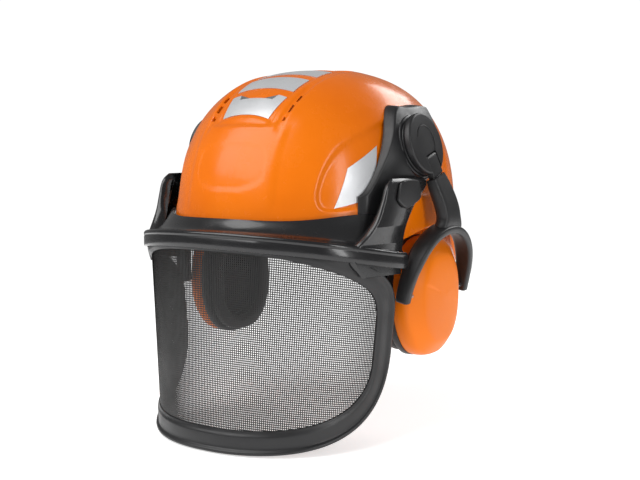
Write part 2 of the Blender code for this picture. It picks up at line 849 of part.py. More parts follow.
def disc_point(run_by, across_by, out_by):
    """A point given from the middle of the disc's outer face."""
    outward, run, across = disc_axes()
    return DISC_FACE + run * run_by + across * across_by + outward * out_by


def arm_frame(run_by=0.0, out_by=0.0):
    """A frame on the arm: X across, Y down the arm, Z outward."""
    outward, run, across = disc_axes()
    return frame_of(across, run, across.cross(run), disc_point(run_by, 0, out_by))


def muff_base():
    """A stepped boss that sits on the side plate and carries the pivot disc."""
    outward, _, across = disc_axes()
    frame = frame_of(across, outward.cross(across), outward, DISC_FACE)
    top = -DISC_THICKNESS - TOUCH
    neck = BASE_RING - 2 * MM
    profile = [(0, top), (neck, top), (neck, top - 1.2 * MM), (BASE_RING - 0.5 * MM, top - 1.2 * MM),
               (BASE_RING, top - 1.7 * MM), (BASE_RING, -BASE_STEP), (BASE_RADIUS, -BASE_STEP - 0.6 * MM),
               (BASE_RADIUS, -30 * MM), (0, -30 * MM)]
    base = turned("muff_pivot_base", profile, frame, black_satin())
    envelope = dome("shell_envelope", PLATE_LIFT + PLATE_WALL + TOUCH + 0.3 * MM, capped=True)
    bolt = shell_bores()[1]
    cut(base, envelope, bolt)
    apply_modifiers(base)
    return pair(base, "muff_pivot_base")


def muff_bolt():
    """The bolt on which the disc turns, with its head inside the shell."""
    start = disc_point(0, 0, -27 * MM)
    end = disc_point(0, 0, -2.2 * MM)
    bolt = rod("muff_pivot_bolt", BOLT_RADIUS, start, end, steel(), sides=16)
    head = rod("bolt_head", 8 * MM, disc_point(0, 0, -27 * MM), disc_point(0, 0, -23.5 * MM), sides=16)
    fuse(bolt, head)
    return pair(bolt, "muff_pivot_bolt")


def hinge_point():
    return disc_point(HINGE_DROP, 0, -DISC_THICKNESS / 2)


def pivot_disc():
    """A bevelled disc with a slot below, in which the arm's head is hinged."""
    outward, _, across = disc_axes()
    frame = frame_of(across, outward.cross(across), outward, DISC_FACE)
    profile = [(0, 0), (DISC_RADIUS - 2.5 * MM, 0), (DISC_RADIUS - 0.6 * MM, -0.7 * MM), (DISC_RADIUS, -2 * MM),
               (DISC_RADIUS, -DISC_THICKNESS), (0, -DISC_THICKNESS)]
    disc = turned("muff_pivot_disc", profile, frame, black_satin())
    slot_start = HINGE_DROP - BLOCK_THICKNESS / 2 - RUN
    slot_length = 30 * MM
    slot = box("slot", (BLOCK_WIDTH + 2 * RUN, slot_length, 20 * MM),
               Vector((0, slot_start + slot_length / 2, 0)), arm_frame())
    half_pin = 14.6 * MM
    centre = hinge_point()
    pin_bore = rod("hinge_bore", HINGE_PIN_RADIUS + TOUCH, centre - across * half_pin,
                   centre + across * half_pin, sides=12)
    bolt_bore = rod("bolt_seat", BOLT_RADIUS + TOUCH, disc_point(0, 0, -12 * MM), disc_point(0, 0, -1.8 * MM))
    cut(disc, slot, pin_bore, bolt_bore)
    apply_modifiers(disc)
    return pair(disc, "muff_pivot_disc")


def hinge_pin():
    _, _, across = disc_axes()
    half_pin = 14.2 * MM
    centre = hinge_point()
    pin = rod("muff_hinge_pin", HINGE_PIN_RADIUS, centre - across * half_pin,
              centre + across * half_pin, steel(), sides=12)
    return pair(pin, "muff_hinge_pin")


def arm_blade():
    """The arm's head, rounded about the hinge, with the blade that runs into the sleeve."""
    radius = BLOCK_THICKNESS / 2
    length = BLOCK_END - HINGE_DROP
    head_side = [(-radius, length - 0.8 * MM), (-radius + 0.8 * MM, length),
                 (radius - 0.8 * MM, length), (radius, length - 0.8 * MM)]
    arc = [(radius * math.cos(math.radians(a)), -radius * math.sin(math.radians(a)))
           for a in (0, 30, 60, 90, 120, 150, 180)]
    outline = arc + head_side
    outward, run, across = disc_axes()
    frame = frame_of(outward, run, outward.cross(run), hinge_point())
    head = plate("muff_arm", outline, BLOCK_WIDTH, frame, black_satin())
    blade = box("blade", (BLADE_WIDTH, BLADE_LENGTH + 2 * MM, BLADE_THICKNESS),
                Vector((0, BLOCK_END + (BLADE_LENGTH - 2 * MM) / 2, 0)), arm_frame(0, -DISC_THICKNESS / 2))
    centre = hinge_point()
    bore = rod("head_bore", HINGE_PIN_RADIUS + TOUCH, centre - across * 12 * MM,
               centre + across * 12 * MM, sides=12)
    fuse(head, blade)
    cut(head, bore)
    apply_modifiers(head)
    return pair(head, "muff_arm")


def ring(centre, half_y, half_x, across, out, power, count):
    """A squarish ring of points about a centre, spanned by two directions."""
    points = []
    for i in range(count):
        a, b = oval(math.tau * (i + 0.5) / count, half_y, half_x, power)
        points.append(centre + across * a + out * b)
    return points


def fork_frame():
    """The fork's plane: its top meets the sleeve, its ends carry the cup's pins."""
    lean = math.radians(12.5)
    up = Vector((math.sin(lean), 0, math.cos(lean)))
    back = Vector((0, 1, 0))
    origin = Vector((CUP_PIVOT_X, CUP_CENTRE.y, CUP_PIVOT_Z))
    return frame_of(back, up, back.cross(up), origin)


def fork_outline():
    """Half a ring round the cup, with rounded ends at the pins."""
    inner_y = CUP_HALF_LENGTH + FORK_GAP
    inner_z = CUP_HALF_HEIGHT + FORK_GAP + CUP_CENTRE.z - CUP_PIVOT_Z + 1 * MM
    steps = 14
    outer = [oval(math.pi * i / steps, inner_y + FORK_WIDTH, inner_z + FORK_WIDTH, 2.3)
             for i in range(steps + 1)]
    inner = [oval(math.pi * (1 - i / steps), inner_y, inner_z, 2.3) for i in range(steps + 1)]
    end = FORK_WIDTH / 2
    middle = inner_y + end
    front_end = [(-middle - end * math.cos(a), -end * math.sin(a) * 1.2)
                 for a in (math.radians(d) for d in (35, 90, 145))]
    rear_end = [(middle - end * math.cos(a), -end * math.sin(a) * 1.2)
                for a in (math.radians(d) for d in (35, 90, 145))]
    return outer + front_end + inner + rear_end


def sleeve_sections():
    """Rings down the sleeve: tilted with the arm at the top, upright where it meets the fork."""
    outward, run, across = disc_axes()
    top = disc_point(BLOCK_END + RUN, 0, -DISC_THICKNESS / 2 - 0.4 * MM)
    foot = fork_frame() @ Vector((2 * MM, CUP_HALF_HEIGHT + FORK_GAP + 2 * MM, 0))
    handle = (foot - top).length / 3
    above_foot = foot + Vector((0.3, 0, 1)) * handle
    sections = []
    steps = 6
    for i in range(steps + 1):
        share = i / steps
        left = 1 - share
        centre = (top * left ** 3 + (top + run * handle) * 3 * share * left ** 2
                  + above_foot * 3 * share ** 2 * left + foot * share ** 3)
        wide = SLEEVE_WIDTH * (1 - 0.10 * left ** 6) + SLEEVE_FLARE * share
        thick = SLEEVE_THICKNESS * (1 - 0.18 * left ** 4)
        level = across.lerp(Vector((0, 1, 0)), share).normalized()
        out = outward.lerp(Vector((1, 0, 0)), share).normalized()
        sections.append(ring(centre, wide / 2, thick / 2, level, out, 3.4, 14))
    return sections


def muff_yoke():
    """Sleeve and fork in one moulding, with a slot down the sleeve for the arm's blade."""
    yoke = loft("muff_yoke", sleeve_sections(), black_satin())
    fork = plate("fork", fork_outline(), FORK_THICKNESS, fork_frame(), edge=0.8 * MM)
    fuse(yoke, fork)
    slot_depth = BLADE_LENGTH + 2 * MM
    slot = box("blade_slot", (BLADE_WIDTH + 2 * RUN, slot_depth, BLADE_THICKNESS + 2 * RUN),
               Vector((0, BLOCK_END + slot_depth / 2 - 0.5 * MM, 0)), arm_frame(0, -DISC_THICKNESS / 2))
    cut(yoke, slot, *cup_pin_bores(TOUCH))
    apply_modifiers(yoke)
    yoke.data.shade_smooth()
    yoke.data.set_sharp_from_angle(angle=math.radians(35))
    return pair(yoke, "muff_yoke")


def cup_pin_ends(side):
    """Ends of the front (-1) or rear (1) pin on which the cup tilts."""
    near = CUP_HALF_LENGTH - 7 * MM
    far = CUP_HALF_LENGTH + FORK_GAP + FORK_WIDTH - 0.6 * MM
    start = Vector((CUP_PIVOT_X, CUP_CENTRE.y + side * near, CUP_PIVOT_Z))
    end = Vector((CUP_PIVOT_X, CUP_CENTRE.y + side * far, CUP_PIVOT_Z))
    return start, end


def cup_pin_bores(gap):
    bores = []
    for side in (-1, 1):
        start, end = cup_pin_ends(side)
        bores.append(rod("cup_pin_bore", CUP_PIN_RADIUS + gap, start, end + (end - start) * 0.3, sides=16))
    return bores


def cup_pins():
    for side, place in ((-1, "front"), (1, "rear")):
        start, end = cup_pin_ends(side)
        pin = rod("cup_pin_" + place, CUP_PIN_RADIUS, start, end, steel(), sides=16)
        pair(pin, "cup_pin_" + place)


def cup_ring(x, half_y, half_z, count=24):
    points = []
    for i in range(count):
        y, z = oval(math.tau * (i + 0.5) / count, half_y, half_z, CUP_POWER)
        points.append(Vector((x, CUP_CENTRE.y + y, CUP_CENTRE.z + z)))
    return points


def cup_shell():
    """A dished cup with a flat, chamfered face."""
    stations = ((0.0, 0.0), (0.42, 1.0), (0.72, -2.5), (0.92, -8.5), (1.0, -12.5))
    rows = []
    for share, grow in stations:
        x = CUP_BACK + CUP_DEPTH * share
        rows.append(cup_ring(x, CUP_HALF_LENGTH + grow * MM, CUP_HALF_HEIGHT + grow * MM))
    bm = bmesh.new()
    rings = strip(bm, rows, closed=True)
    bm.faces.new(rings[-1])
    turn_outward(bm, Vector((CUP_BACK, CUP_CENTRE.y, CUP_CENTRE.z)))
    cup = object_from(bm, "ear_cup_shell", orange_plastic(), 25)
    solidify(cup, CUP_WALL, -1)
    apply_modifiers(cup)
    cut(cup, *cup_pin_bores(TOUCH))
    apply_modifiers(cup)
    return pair(cup, "ear_cup_shell")


def flat_oval(half_y, half_z, count=24):
    return [oval(math.tau * i / count, half_y, half_z, CUP_POWER) for i in range(count)]


def cup_inside():
    """Back plate, sealing cushion and the foam that fills the cup."""
    place = Matrix.Translation((0, CUP_CENTRE.y, CUP_CENTRE.z))
    plate_x = CUP_BACK - TOUCH - PLATE_THICKNESS / 2
    back = plate("ear_cup_plate", flat_oval(CUP_HALF_LENGTH, CUP_HALF_HEIGHT), PLATE_THICKNESS,
                 place @ side_frame(plate_x), black_satin(), holes=[flat_oval(23 * MM, 30 * MM)])
    pair(back, "ear_cup_plate")
    radius = CUSHION_DEPTH / 2
    data = bpy.data.curves.new("ear_cushion", "CURVE")
    data.dimensions = "3D"
    data.bevel_depth = radius
    data.bevel_resolution = 1
    line = data.splines.new("POLY")
    loop = flat_oval(CUP_HALF_LENGTH - 7 * MM, CUP_HALF_HEIGHT - 7 * MM, 20)
    line.points.add(len(loop) - 1)
    for point, (y, z) in zip(line.points, loop):
        point.co = (y, z, 0, 1)
    line.use_cyclic_u = True
    made = bpy.data.objects.new("ear_cushion", data)
    PARTS.objects.link(made)
    cushion_x = CUP_BACK - 2 * TOUCH - PLATE_THICKNESS - radius
    made.matrix_world = place @ side_frame(cushion_x)
    cushion = mesh_from_curve(made, "ear_cushion", foam(), 60)
    pair(cushion, "ear_cushion")
    pad_x = CUP_BACK + 4 * MM
    pad = plate("ear_cup_foam", flat_oval(CUP_HALF_LENGTH - 5 * MM, CUP_HALF_HEIGHT - 5 * MM, 20), 7 * MM,
                place @ side_frame(pad_x), foam())
    pair(pad, "ear_cup_foam")


# ================================================================ harness
def band_point(angle, height, lift=0.0):
    length = BAND_BACK if math.sin(angle) > 0 else BAND_FRONT
    x, y = oval(angle, BAND_HALF_WIDTH + lift, length + lift, PLAN_POWER)
    return Vector((x, y, height))


def band_path(lift=0.0, steps=28):
    """Plan of the head band: straight ears at the back, a round front."""
    points = [Vector((BAND_HALF_WIDTH + lift, BAND_END, 0))]
    for i in range(steps + 1):
        x, y = oval(-math.pi * i / steps, BAND_HALF_WIDTH + lift, BAND_FRONT + lift, PLAN_POWER)
        points.append(Vector((x, y, 0)))
    points.append(Vector((-BAND_HALF_WIDTH - lift, BAND_END, 0)))
    return points


def band_wall(name, path, low, high, wall, look, rows=1):
    grid = []
    for k in range(rows + 1):
        z = blend(low, high, k / rows)
        grid.append([point + Vector((0, 0, z)) for point in path])
    made = surface(name, grid, look, away_from=Vector((0, 0, (low + high) / 2)))
    solidify(made, wall, 1)
    return apply_modifiers(made)


def head_band():
    return band_wall("head_band", band_path(), BAND_BASE, BAND_BASE + BAND_HEIGHT, BAND_WALL, grey_plastic())


def sweat_band():
    """A soft pad on the inside of the band's front."""
    wall = 3 * MM
    path = []
    for i in range(17):
        angle = math.radians(-155) + math.radians(130) * i / 16
        x, y = oval(angle, BAND_HALF_WIDTH - wall - TOUCH, BAND_FRONT - wall - TOUCH, PLAN_POWER)
        path.append(Vector((x, y, 0)))
    return band_wall("sweat_band", path, BAND_BASE - 3 * MM, BAND_BASE + BAND_HEIGHT - 3 * MM, wall, foam())


def nape_cradle():
    """A low strap behind the head; its arms slide along the inside of the band's ends."""
    half = BAND_HALF_WIDTH - 2 * TOUCH - 2 * CRADLE_WALL + 0.4 * MM
    path = [Vector((half, CRADLE_TIP, 0))]
    steps = 18
    for i in range(steps + 1):
        x, y = oval(math.pi * i / steps, half, BAND_BACK - BAND_END, PLAN_POWER)
        path.append(Vector((x, y + BAND_END, 0)))
    path.append(Vector((-half, CRADLE_TIP, 0)))
    grid = []
    for k in range(3):
        row = []
        for point in path:
            fall = smooth_step(point.y, BAND_END + 2 * MM, BAND_BACK - 4 * MM)
            low = blend(BAND_BASE + 4 * MM, -CRADLE_DROP - 12 * MM, fall)
            high = blend(BAND_BASE + 18 * MM, -CRADLE_DROP + 10 * MM, fall)
            row.append(point + Vector((0, 0, blend(low, high, k / 2))))
        grid.append(row)
    made = surface("nape_cradle", grid, grey_plastic(), away_from=Vector((0, BAND_END, -10 * MM)))
    solidify(made, CRADLE_WALL, 1)
    apply_modifiers(made)
    hub = rod("knob_hub", KNOB_HUB, knob_centre(-1.2 * MM), knob_centre(4 * MM), sides=20)
    return fuse(made, hub)


def knob_centre(back_by=0.0):
    return Vector((0, BAND_BACK + 1.8 * MM + back_by, -CRADLE_DROP))


def ratchet_knob():
    """A ribbed knob behind the nape that tightens the band."""
    frame = frame_of(Vector((1, 0, 0)), Vector((0, 0, -1)), Vector((0, 1, 0)), knob_centre(1.2 * MM))
    count = KNOB_RIBS * 4
    outline = []
    for i in range(count):
        turn = math.tau * i / count
        wave = (1.0, 1.0, 0.94, 0.94)[i % 4]
        outline.append((KNOB_RADIUS * wave * math.cos(turn), KNOB_RADIUS * wave * math.sin(turn)))
    place = frame @ Matrix.Translation((0, 0, KNOB_DEPTH / 2))
    knob = plate("ratchet_knob", outline, KNOB_DEPTH, place, black_satin())
    seat = rod("hub_seat", KNOB_HUB + RUN, knob_centre(-5 * MM), knob_centre(4 * MM + RUN), sides=20)
    cut(knob, seat)
    return apply_modifiers(knob)


def crown_straps():
    """Two straps that cross over the head; the second passes above the first."""
    for name, turn, above in (("crown_strap_a", 1, 0.0), ("crown_strap_b", -1, 2.2 * MM)):
        start = band_point(turn * CLIP_ANGLES[0], 0.0, STRAP_CLEAR)
        end = band_point(math.pi + turn * CLIP_ANGLES[0], 0.0, STRAP_CLEAR)
        run = (end - start).normalized()
        side = Vector((0, 0, 1)).cross(run) * (STRAP_WIDTH / 2)
        grid = [[], []]
        steps = 20
        for i in range(steps + 1):
            share = -math.cos(math.pi * i / steps)
            rise = (CROWN_HEIGHT + above - BAND_BASE - 12 * MM) * (1 - abs(share) ** 2.4) ** (1 / 2.4)
            middle = (start + end) / 2 + (end - start) / 2 * share
            spot = middle + Vector((0, 0, BAND_BASE + 12 * MM + rise))
            grid[0].append(spot - side)
            grid[1].append(spot + side)
        made = surface(name, grid, webbing(), away_from=Vector((0, 0, 0)))
        solidify(made, STRAP_THICKNESS, 1)
        apply_modifiers(made)


def suspension_clips():
    """Four clips that hang the straps and the band from the shell's rim."""
    places = (("front_left", CLIP_ANGLES[0]), ("rear_left", CLIP_ANGLES[1]),
              ("rear_right", math.pi - CLIP_ANGLES[1]), ("front_right", math.pi - CLIP_ANGLES[0]))
    for name, angle in places:
        inner = band_point(angle, 0.0, STRAP_CLEAR + STRAP_THICKNESS + 2.2 * MM)
        outer = dome_point(angle, math.radians(4), -SHELL_WALL - 1.5 * MM)
        outer.z = 0
        run = outer - inner
        out = run.normalized()
        frame = frame_of(out, Vector((0, 0, 1)).cross(out), Vector((0, 0, 1)),
                         Vector((inner.x, inner.y, BAND_BASE + 14 * MM)))
        length = run.length - 1.5 * MM
        clip = box("suspension_clip_" + name, (length, 16 * MM, 12 * MM),
                   Vector((length / 2, 0, 0)), frame, grey_plastic())
        bevel(clip, 1.5 * MM)


# ================================================================ joints
def joint_empties():
    """Empties on the joint axes, with the moving pieces parented to them."""
    groups = {"visor_axis": ((0, PIVOT_Y, PIVOT_Z), ["brow_guard", "visor_frame", "visor_mesh",
                                                     "visor_pivot_cap_left", "visor_pivot_cap_right"])}
    groups["knob_axis"] = (tuple(knob_centre()), ["ratchet_knob"])
    for side, name in ((LEFT, "left"), (RIGHT, "right")):
        flip = Matrix.Diagonal((side, 1, 1, 1))
        groups["swing_axis_" + name] = (flip @ DISC_FACE, ["muff_pivot_disc_" + name,
                                                           "muff_hinge_pin_" + name])
        groups["standoff_axis_" + name] = (flip @ hinge_point(), ["muff_arm_" + name])
        top = flip @ disc_point(BLOCK_END, 0, 0)
        groups["height_axis_" + name] = (top, ["muff_yoke_" + name, "cup_pin_front_" + name,
                                               "cup_pin_rear_" + name])
        pivot = flip @ Vector((CUP_PIVOT_X, CUP_CENTRE.y, CUP_PIVOT_Z))
        cup = ["ear_cup_shell_", "ear_cup_plate_", "ear_cushion_", "ear_cup_foam_"]
        groups["tilt_axis_" + name] = (pivot, [stem + name for stem in cup])
    for name, (place, members) in groups.items():
        empty = bpy.data.objects.new(name, None)
        empty.empty_display_size = 10 * MM
        PARTS.objects.link(empty)
        empty.location = place
        bpy.context.view_layer.update()
        for member in members:
            piece = bpy.data.objects[member]
            piece.parent = empty
            piece.matrix_parent_inverse = empty.matrix_world.inverted()


def build():
    start_scene()
    outer_shell()
    reflective_films()
    side_plates()
    brow_guard()
    visor_pivots()
    visor_frame()
    visor_mesh()
    muff_base()
    muff_bolt()
    pivot_disc()
    hinge_pin()
    arm_blade()
    muff_yoke()
    cup_pins()
    cup_shell()
    cup_inside()
    head_band()
    sweat_band()
    nape_cradle()
    ratchet_knob()
    crown_straps()
    suspension_clips()
    joint_empties()


build()
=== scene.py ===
# %% [markdown]
# # A forestry helmet, one piece at a time
# The helmet has an orange shell, a black brow guard that carries a curved wire visor, and a
# folding ear muff on each side. Each cell below makes one piece or one finish. Lengths are in
# millimetres until the mesh is made, because that is how such a product is drawn.

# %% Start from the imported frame
import math

import bmesh
import bpy
import numpy as np
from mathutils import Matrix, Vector


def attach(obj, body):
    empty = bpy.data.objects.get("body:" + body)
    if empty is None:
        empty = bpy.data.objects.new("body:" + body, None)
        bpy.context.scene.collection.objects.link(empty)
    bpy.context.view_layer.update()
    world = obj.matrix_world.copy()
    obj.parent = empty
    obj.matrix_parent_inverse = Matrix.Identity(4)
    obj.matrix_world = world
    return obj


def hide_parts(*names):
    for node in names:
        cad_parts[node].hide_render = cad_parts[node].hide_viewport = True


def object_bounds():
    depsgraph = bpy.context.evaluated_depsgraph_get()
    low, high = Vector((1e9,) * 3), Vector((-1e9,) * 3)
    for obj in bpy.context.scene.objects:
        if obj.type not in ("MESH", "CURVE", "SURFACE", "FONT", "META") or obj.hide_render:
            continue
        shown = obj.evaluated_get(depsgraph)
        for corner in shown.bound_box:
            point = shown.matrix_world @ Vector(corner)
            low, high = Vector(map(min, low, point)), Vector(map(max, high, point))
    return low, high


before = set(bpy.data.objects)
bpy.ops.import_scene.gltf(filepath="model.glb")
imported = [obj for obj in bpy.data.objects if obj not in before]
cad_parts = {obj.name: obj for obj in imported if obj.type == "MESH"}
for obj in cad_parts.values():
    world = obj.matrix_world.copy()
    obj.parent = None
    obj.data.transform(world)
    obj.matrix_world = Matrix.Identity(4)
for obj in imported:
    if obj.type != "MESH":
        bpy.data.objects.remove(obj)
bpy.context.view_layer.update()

MM = 0.001
TAU = 2 * math.pi

# %% [markdown]
# ## Surfaces from numpy grids
# Every new piece is a grid of points: rows by columns, worked out as whole arrays. One helper
# turns a grid into a mesh with a UV map, so that a weave or a grain can follow the surface. A
# grid can be closed round its columns, closed along its rows, or capped at its first and last
# row, which covers plates, lofts, turned parts and rings.

# %% Grid to mesh


def grid_faces(rows, columns, close_rows, close_columns):
    """Quads between neighbouring points: index = row * columns + column, wrapped if closed."""
    r = np.arange(rows if close_rows else rows - 1)
    c = np.arange(columns if close_columns else columns - 1)
    r, c = np.meshgrid(r, c, indexing="ij")
    r2, c2 = (r + 1) % rows, (c + 1) % columns
    quads = np.stack([r * columns + c, r * columns + c2, r2 * columns + c2, r2 * columns + c], -1)
    return quads.reshape(-1, 4)


def make_piece(name, points, look, body, replaces=(), close_rows=False,
               close_columns=True, caps=True, angle=40.0, merge=0.0):
    """Mesh of a (rows, columns, 3) grid in millimetres, riding on a body of the frame."""
    rows, columns = points.shape[:2]
    verts = points.reshape(-1, 3) * MM
    faces = grid_faces(rows, columns, close_rows, close_columns).tolist()
    if caps and close_columns and not close_rows:
        faces.append(list(range(columns))[::-1])
        faces.append([(rows - 1) * columns + i for i in range(columns)])
    mesh = bpy.data.meshes.new(name)
    mesh.from_pydata(verts.tolist(), [], faces)
    across = np.arange(len(verts)) % columns / columns
    along = np.arange(len(verts)) // columns / max(rows - 1, 1)
    lengths = np.linalg.norm(np.diff(points, axis=0), axis=2).sum(0).mean()
    widths = np.linalg.norm(np.diff(points, axis=1), axis=2).sum(1).mean()
    loops = np.empty(len(mesh.loops), dtype=np.int64)
    mesh.loops.foreach_get("vertex_index", loops)
    uv = np.stack([across[loops] * widths, along[loops] * lengths], -1)
    layer = mesh.uv_layers.new(name="surface")
    layer.data.foreach_set("uv", (uv * MM).astype(np.float32).ravel())
    finish_mesh(mesh, angle, merge)
    return place_piece(name, mesh, look, body, replaces)


def finish_mesh(mesh, angle, merge=0.0):
    """Merge doubles, point every face outward and keep edges sharper than the angle crisp."""
    bm = bmesh.new()
    bm.from_mesh(mesh)
    if merge:
        bmesh.ops.remove_doubles(bm, verts=bm.verts, dist=merge * MM)
    bmesh.ops.recalc_face_normals(bm, faces=bm.faces)
    bm.to_mesh(mesh)
    bm.free()
    mesh.shade_smooth()
    mesh.set_sharp_from_angle(angle=math.radians(angle))


def place_piece(name, mesh, look, body, replaces=()):
    """An object at the origin with one material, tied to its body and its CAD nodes."""
    made = bpy.data.objects.new(name, mesh)
    bpy.context.scene.collection.objects.link(made)
    mesh.materials.append(look)
    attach(made, body)
    if replaces:
        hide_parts(*replaces)
    return made


def joined(grids):
    """One list of points and faces from several closed grids, for a piece made of many bars."""
    verts, faces, start = [], [], 0
    for points, close_rows in grids:
        rows, columns = points.shape[:2]
        quads = (grid_faces(rows, columns, close_rows, True) + start).tolist()
        if not close_rows:
            quads.append([start + i for i in range(columns)][::-1])
            quads.append([start + (rows - 1) * columns + i for i in range(columns)])
        verts.append(points.reshape(-1, 3))
        faces += quads
        start += rows * columns
    return np.concatenate(verts), faces


def make_joined(name, grids, look, body, replaces=(), angle=40.0):
    verts, faces = joined(grids)
    mesh = bpy.data.meshes.new(name)
    mesh.from_pydata((verts * MM).tolist(), [], faces)
    finish_mesh(mesh, angle)
    return place_piece(name, mesh, look, body, replaces)


def mirror(points):
    """The wearer's right is the wearer's left with x turned over."""
    return points * np.array([-1.0, 1.0, 1.0])


def both_sides(build):
    """Run a builder for the left (1) and the right (-1) side."""
    return [build(1, "left"), build(-1, "right")]


print("grid helpers ready")

# %% [markdown]
# ## Shader maths in plain expressions
# A finish is a formula over the surface. The small class below wraps a node socket, so that
# `1 - mask * 0.3` adds the Math nodes by itself. One method adds any other node from its type,
# its settings and its inputs.

# %% Sockets that add up


class Wire:
    """A node socket that can be added, subtracted, multiplied and raised to a power."""

    def __init__(self, tree, socket):
        self.tree, self.socket = tree, socket

    def math(self, operation, first, second):
        node = self.tree.nodes.new("ShaderNodeMath")
        node.operation = operation
        for slot, value in zip(node.inputs, (first, second)):
            if isinstance(value, Wire):
                self.tree.links.new(value.socket, slot)
            else:
                slot.default_value = value
        return Wire(self.tree, node.outputs[0])

    def __add__(self, other):
        return self.math("ADD", self, other)

    def __sub__(self, other):
        return self.math("SUBTRACT", self, other)

    def __rsub__(self, other):
        return self.math("SUBTRACT", other, self)

    def __mul__(self, other):
        return self.math("MULTIPLY", self, other)

    def __pow__(self, other):
        return self.math("POWER", self, other)

    def __abs__(self):
        return self.math("ABSOLUTE", self, 0.0)

    def over(self, edge):
        """1 where the value is above the edge, otherwise 0."""
        return self.math("GREATER_THAN", self, edge)

    def sine(self):
        return self.math("SINE", self, 0.0)

    __radd__ = __add__
    __rmul__ = __mul__


class Finish:
    """A material whose Principled shader is fed by named nodes."""

    def __init__(self, name, **values):
        self.material = bpy.data.materials.new(name)
        self.material.use_nodes = True
        self.tree = self.material.node_tree
        self.shader = self.tree.nodes["Principled BSDF"]
        self.coords = self.tree.nodes.new("ShaderNodeTexCoord")
        for socket, value in values.items():
            self.feed(socket.replace("_", " "), value)

    def feed(self, socket, value):
        slot = self.shader.inputs[socket]
        if isinstance(value, Wire):
            self.tree.links.new(value.socket, slot)
        else:
            slot.default_value = value

    def node(self, kind, settings=None, out=0, **inputs):
        """Any node: settings first, then inputs by name, with _ for a space."""
        node = self.tree.nodes.new("ShaderNode" + kind)
        for key, value in (settings or {}).items():
            setattr(node, key, value)
        for key, value in inputs.items():
            slot = node.inputs[int(key[1:])] if key[0] == "i" and key[1:].isdigit() else None
            slot = slot or node.inputs[key.replace("_", " ")]
            if isinstance(value, Wire):
                self.tree.links.new(value.socket, slot)
            else:
                slot.default_value = value
        return Wire(self.tree, node.outputs[out])

    def place(self, which="Object"):
        return Wire(self.tree, self.coords.outputs[which])

    def noise(self, scale, detail=2.0, roughness=0.5, which="Object"):
        """Soft cloudy noise, around one half, at so many cells for each metre."""
        return self.node("TexNoise", Vector=self.place(which), Scale=scale, Detail=detail,
                         Roughness=roughness)

    def axes(self, which="UV"):
        """The separate coordinates, in metres."""
        split = self.tree.nodes.new("ShaderNodeSeparateXYZ")
        self.tree.links.new(self.place(which).socket, split.inputs[0])
        return [Wire(self.tree, socket) for socket in split.outputs]

    def mix(self, mask, dark, light):
        """Blend of two colours by a mask."""
        return self.node("Mix", {"data_type": "RGBA"}, out=2, i0=mask, i6=dark, i7=light)

    def bump(self, height, strength, distance):
        """A bump map of that height in metres, fed to the shader's Normal."""
        normal = self.node("Bump", Height=height, Strength=strength, Distance=distance)
        self.feed("Normal", normal)

    def band(self, value, low, high, to_low=0.0, to_high=1.0):
        """Spread the values between low and high over a new range."""
        return self.node("MapRange", i0=value, i1=low, i2=high, i3=to_low, i4=to_high)


def colour(red, green, blue):
    return (red, green, blue, 1.0)


print("shader helpers ready")

# %% [markdown]
# ## Finishes
# The shell and the cups are one moulded orange. Such plastic is never one flat tone: it has a
# faint cloudiness, an orange-peel surface a few microns high, and handling marks that show only
# in the gloss. The black parts come from a textured mould, so they are satin with a fine grain,
# except the polished brow guard.

# %% Moulded plastics


def moulded(name, dark, light, rough_low, rough_high, grain, grain_height, coat=0.0, shine=0.5):
    """Moulded plastic: cloud between two tones, smeared gloss and a fine grain as bump."""
    made = Finish(name)
    cloud = made.noise(14.0, 3.0)
    made.feed("Base Color", made.mix(made.band(cloud, 0.3, 0.7), dark, light))
    smear = made.noise(55.0, 5.0, 0.62)
    made.feed("Roughness", made.band(smear, 0.35, 0.68, rough_low, rough_high))
    made.feed("Coat Weight", coat)
    made.feed("Coat Roughness", 0.08)
    made.feed("Specular IOR Level", shine)
    made.bump(made.noise(grain, 2.0), 0.5, grain_height)
    return made.material


ORANGE = moulded("orange_plastic", colour(0.84, 0.165, 0.0015), colour(0.93, 0.20, 0.002),
                 0.20, 0.31, 900.0, 0.00006, 0.12, 0.28)
CUP_ORANGE = moulded("cup_orange_plastic", colour(0.88, 0.185, 0.002), colour(0.95, 0.215, 0.003),
                     0.32, 0.42, 1400.0, 0.00008, 0.0, 0.25)
GLOSS = moulded("gloss_black_plastic", colour(0.010, 0.010, 0.011), colour(0.016, 0.016, 0.017),
                0.16, 0.28, 1100.0, 0.00005, 0.3)
SATIN = moulded("satin_black_plastic", colour(0.010, 0.010, 0.011), colour(0.017, 0.017, 0.018),
                0.33, 0.46, 2600.0, 0.00008)
GREY = moulded("grey_plastic", colour(0.075, 0.076, 0.08), colour(0.10, 0.10, 0.105),
               0.42, 0.55, 2200.0, 0.00009)
WIRE = moulded("coated_wire", colour(0.016, 0.016, 0.016), colour(0.03, 0.03, 0.03),
               0.35, 0.5, 3000.0, 0.00002)

# %% [markdown]
# The reflective film is a silver sheet with tiny prisms under a clear face: flat and bright, with
# a fine diamond lattice. The pins and bolts are drawn steel with marks round them.

# %% Film and steel


def silver_film():
    """Silver film: a lattice from two crossing sine waves, 0.9 mm apart, in colour and bump."""
    made = Finish("silver_film")
    x, y, _ = made.axes("UV")
    pitch = TAU / 0.0011
    lattice = abs(((x + y) * pitch).sine()) * abs(((x - y) * pitch).sine())
    tone = made.band(lattice, 0.0, 0.7)
    made.feed("Base Color", made.mix(tone, colour(0.60, 0.61, 0.63), colour(0.80, 0.81, 0.82)))
    made.feed("Roughness", made.band(made.noise(60.0, 3.0), 0.3, 0.7, 0.26, 0.40))
    made.feed("Metallic", 0.35)
    made.bump(lattice, 0.25, 0.00004)
    return made.material


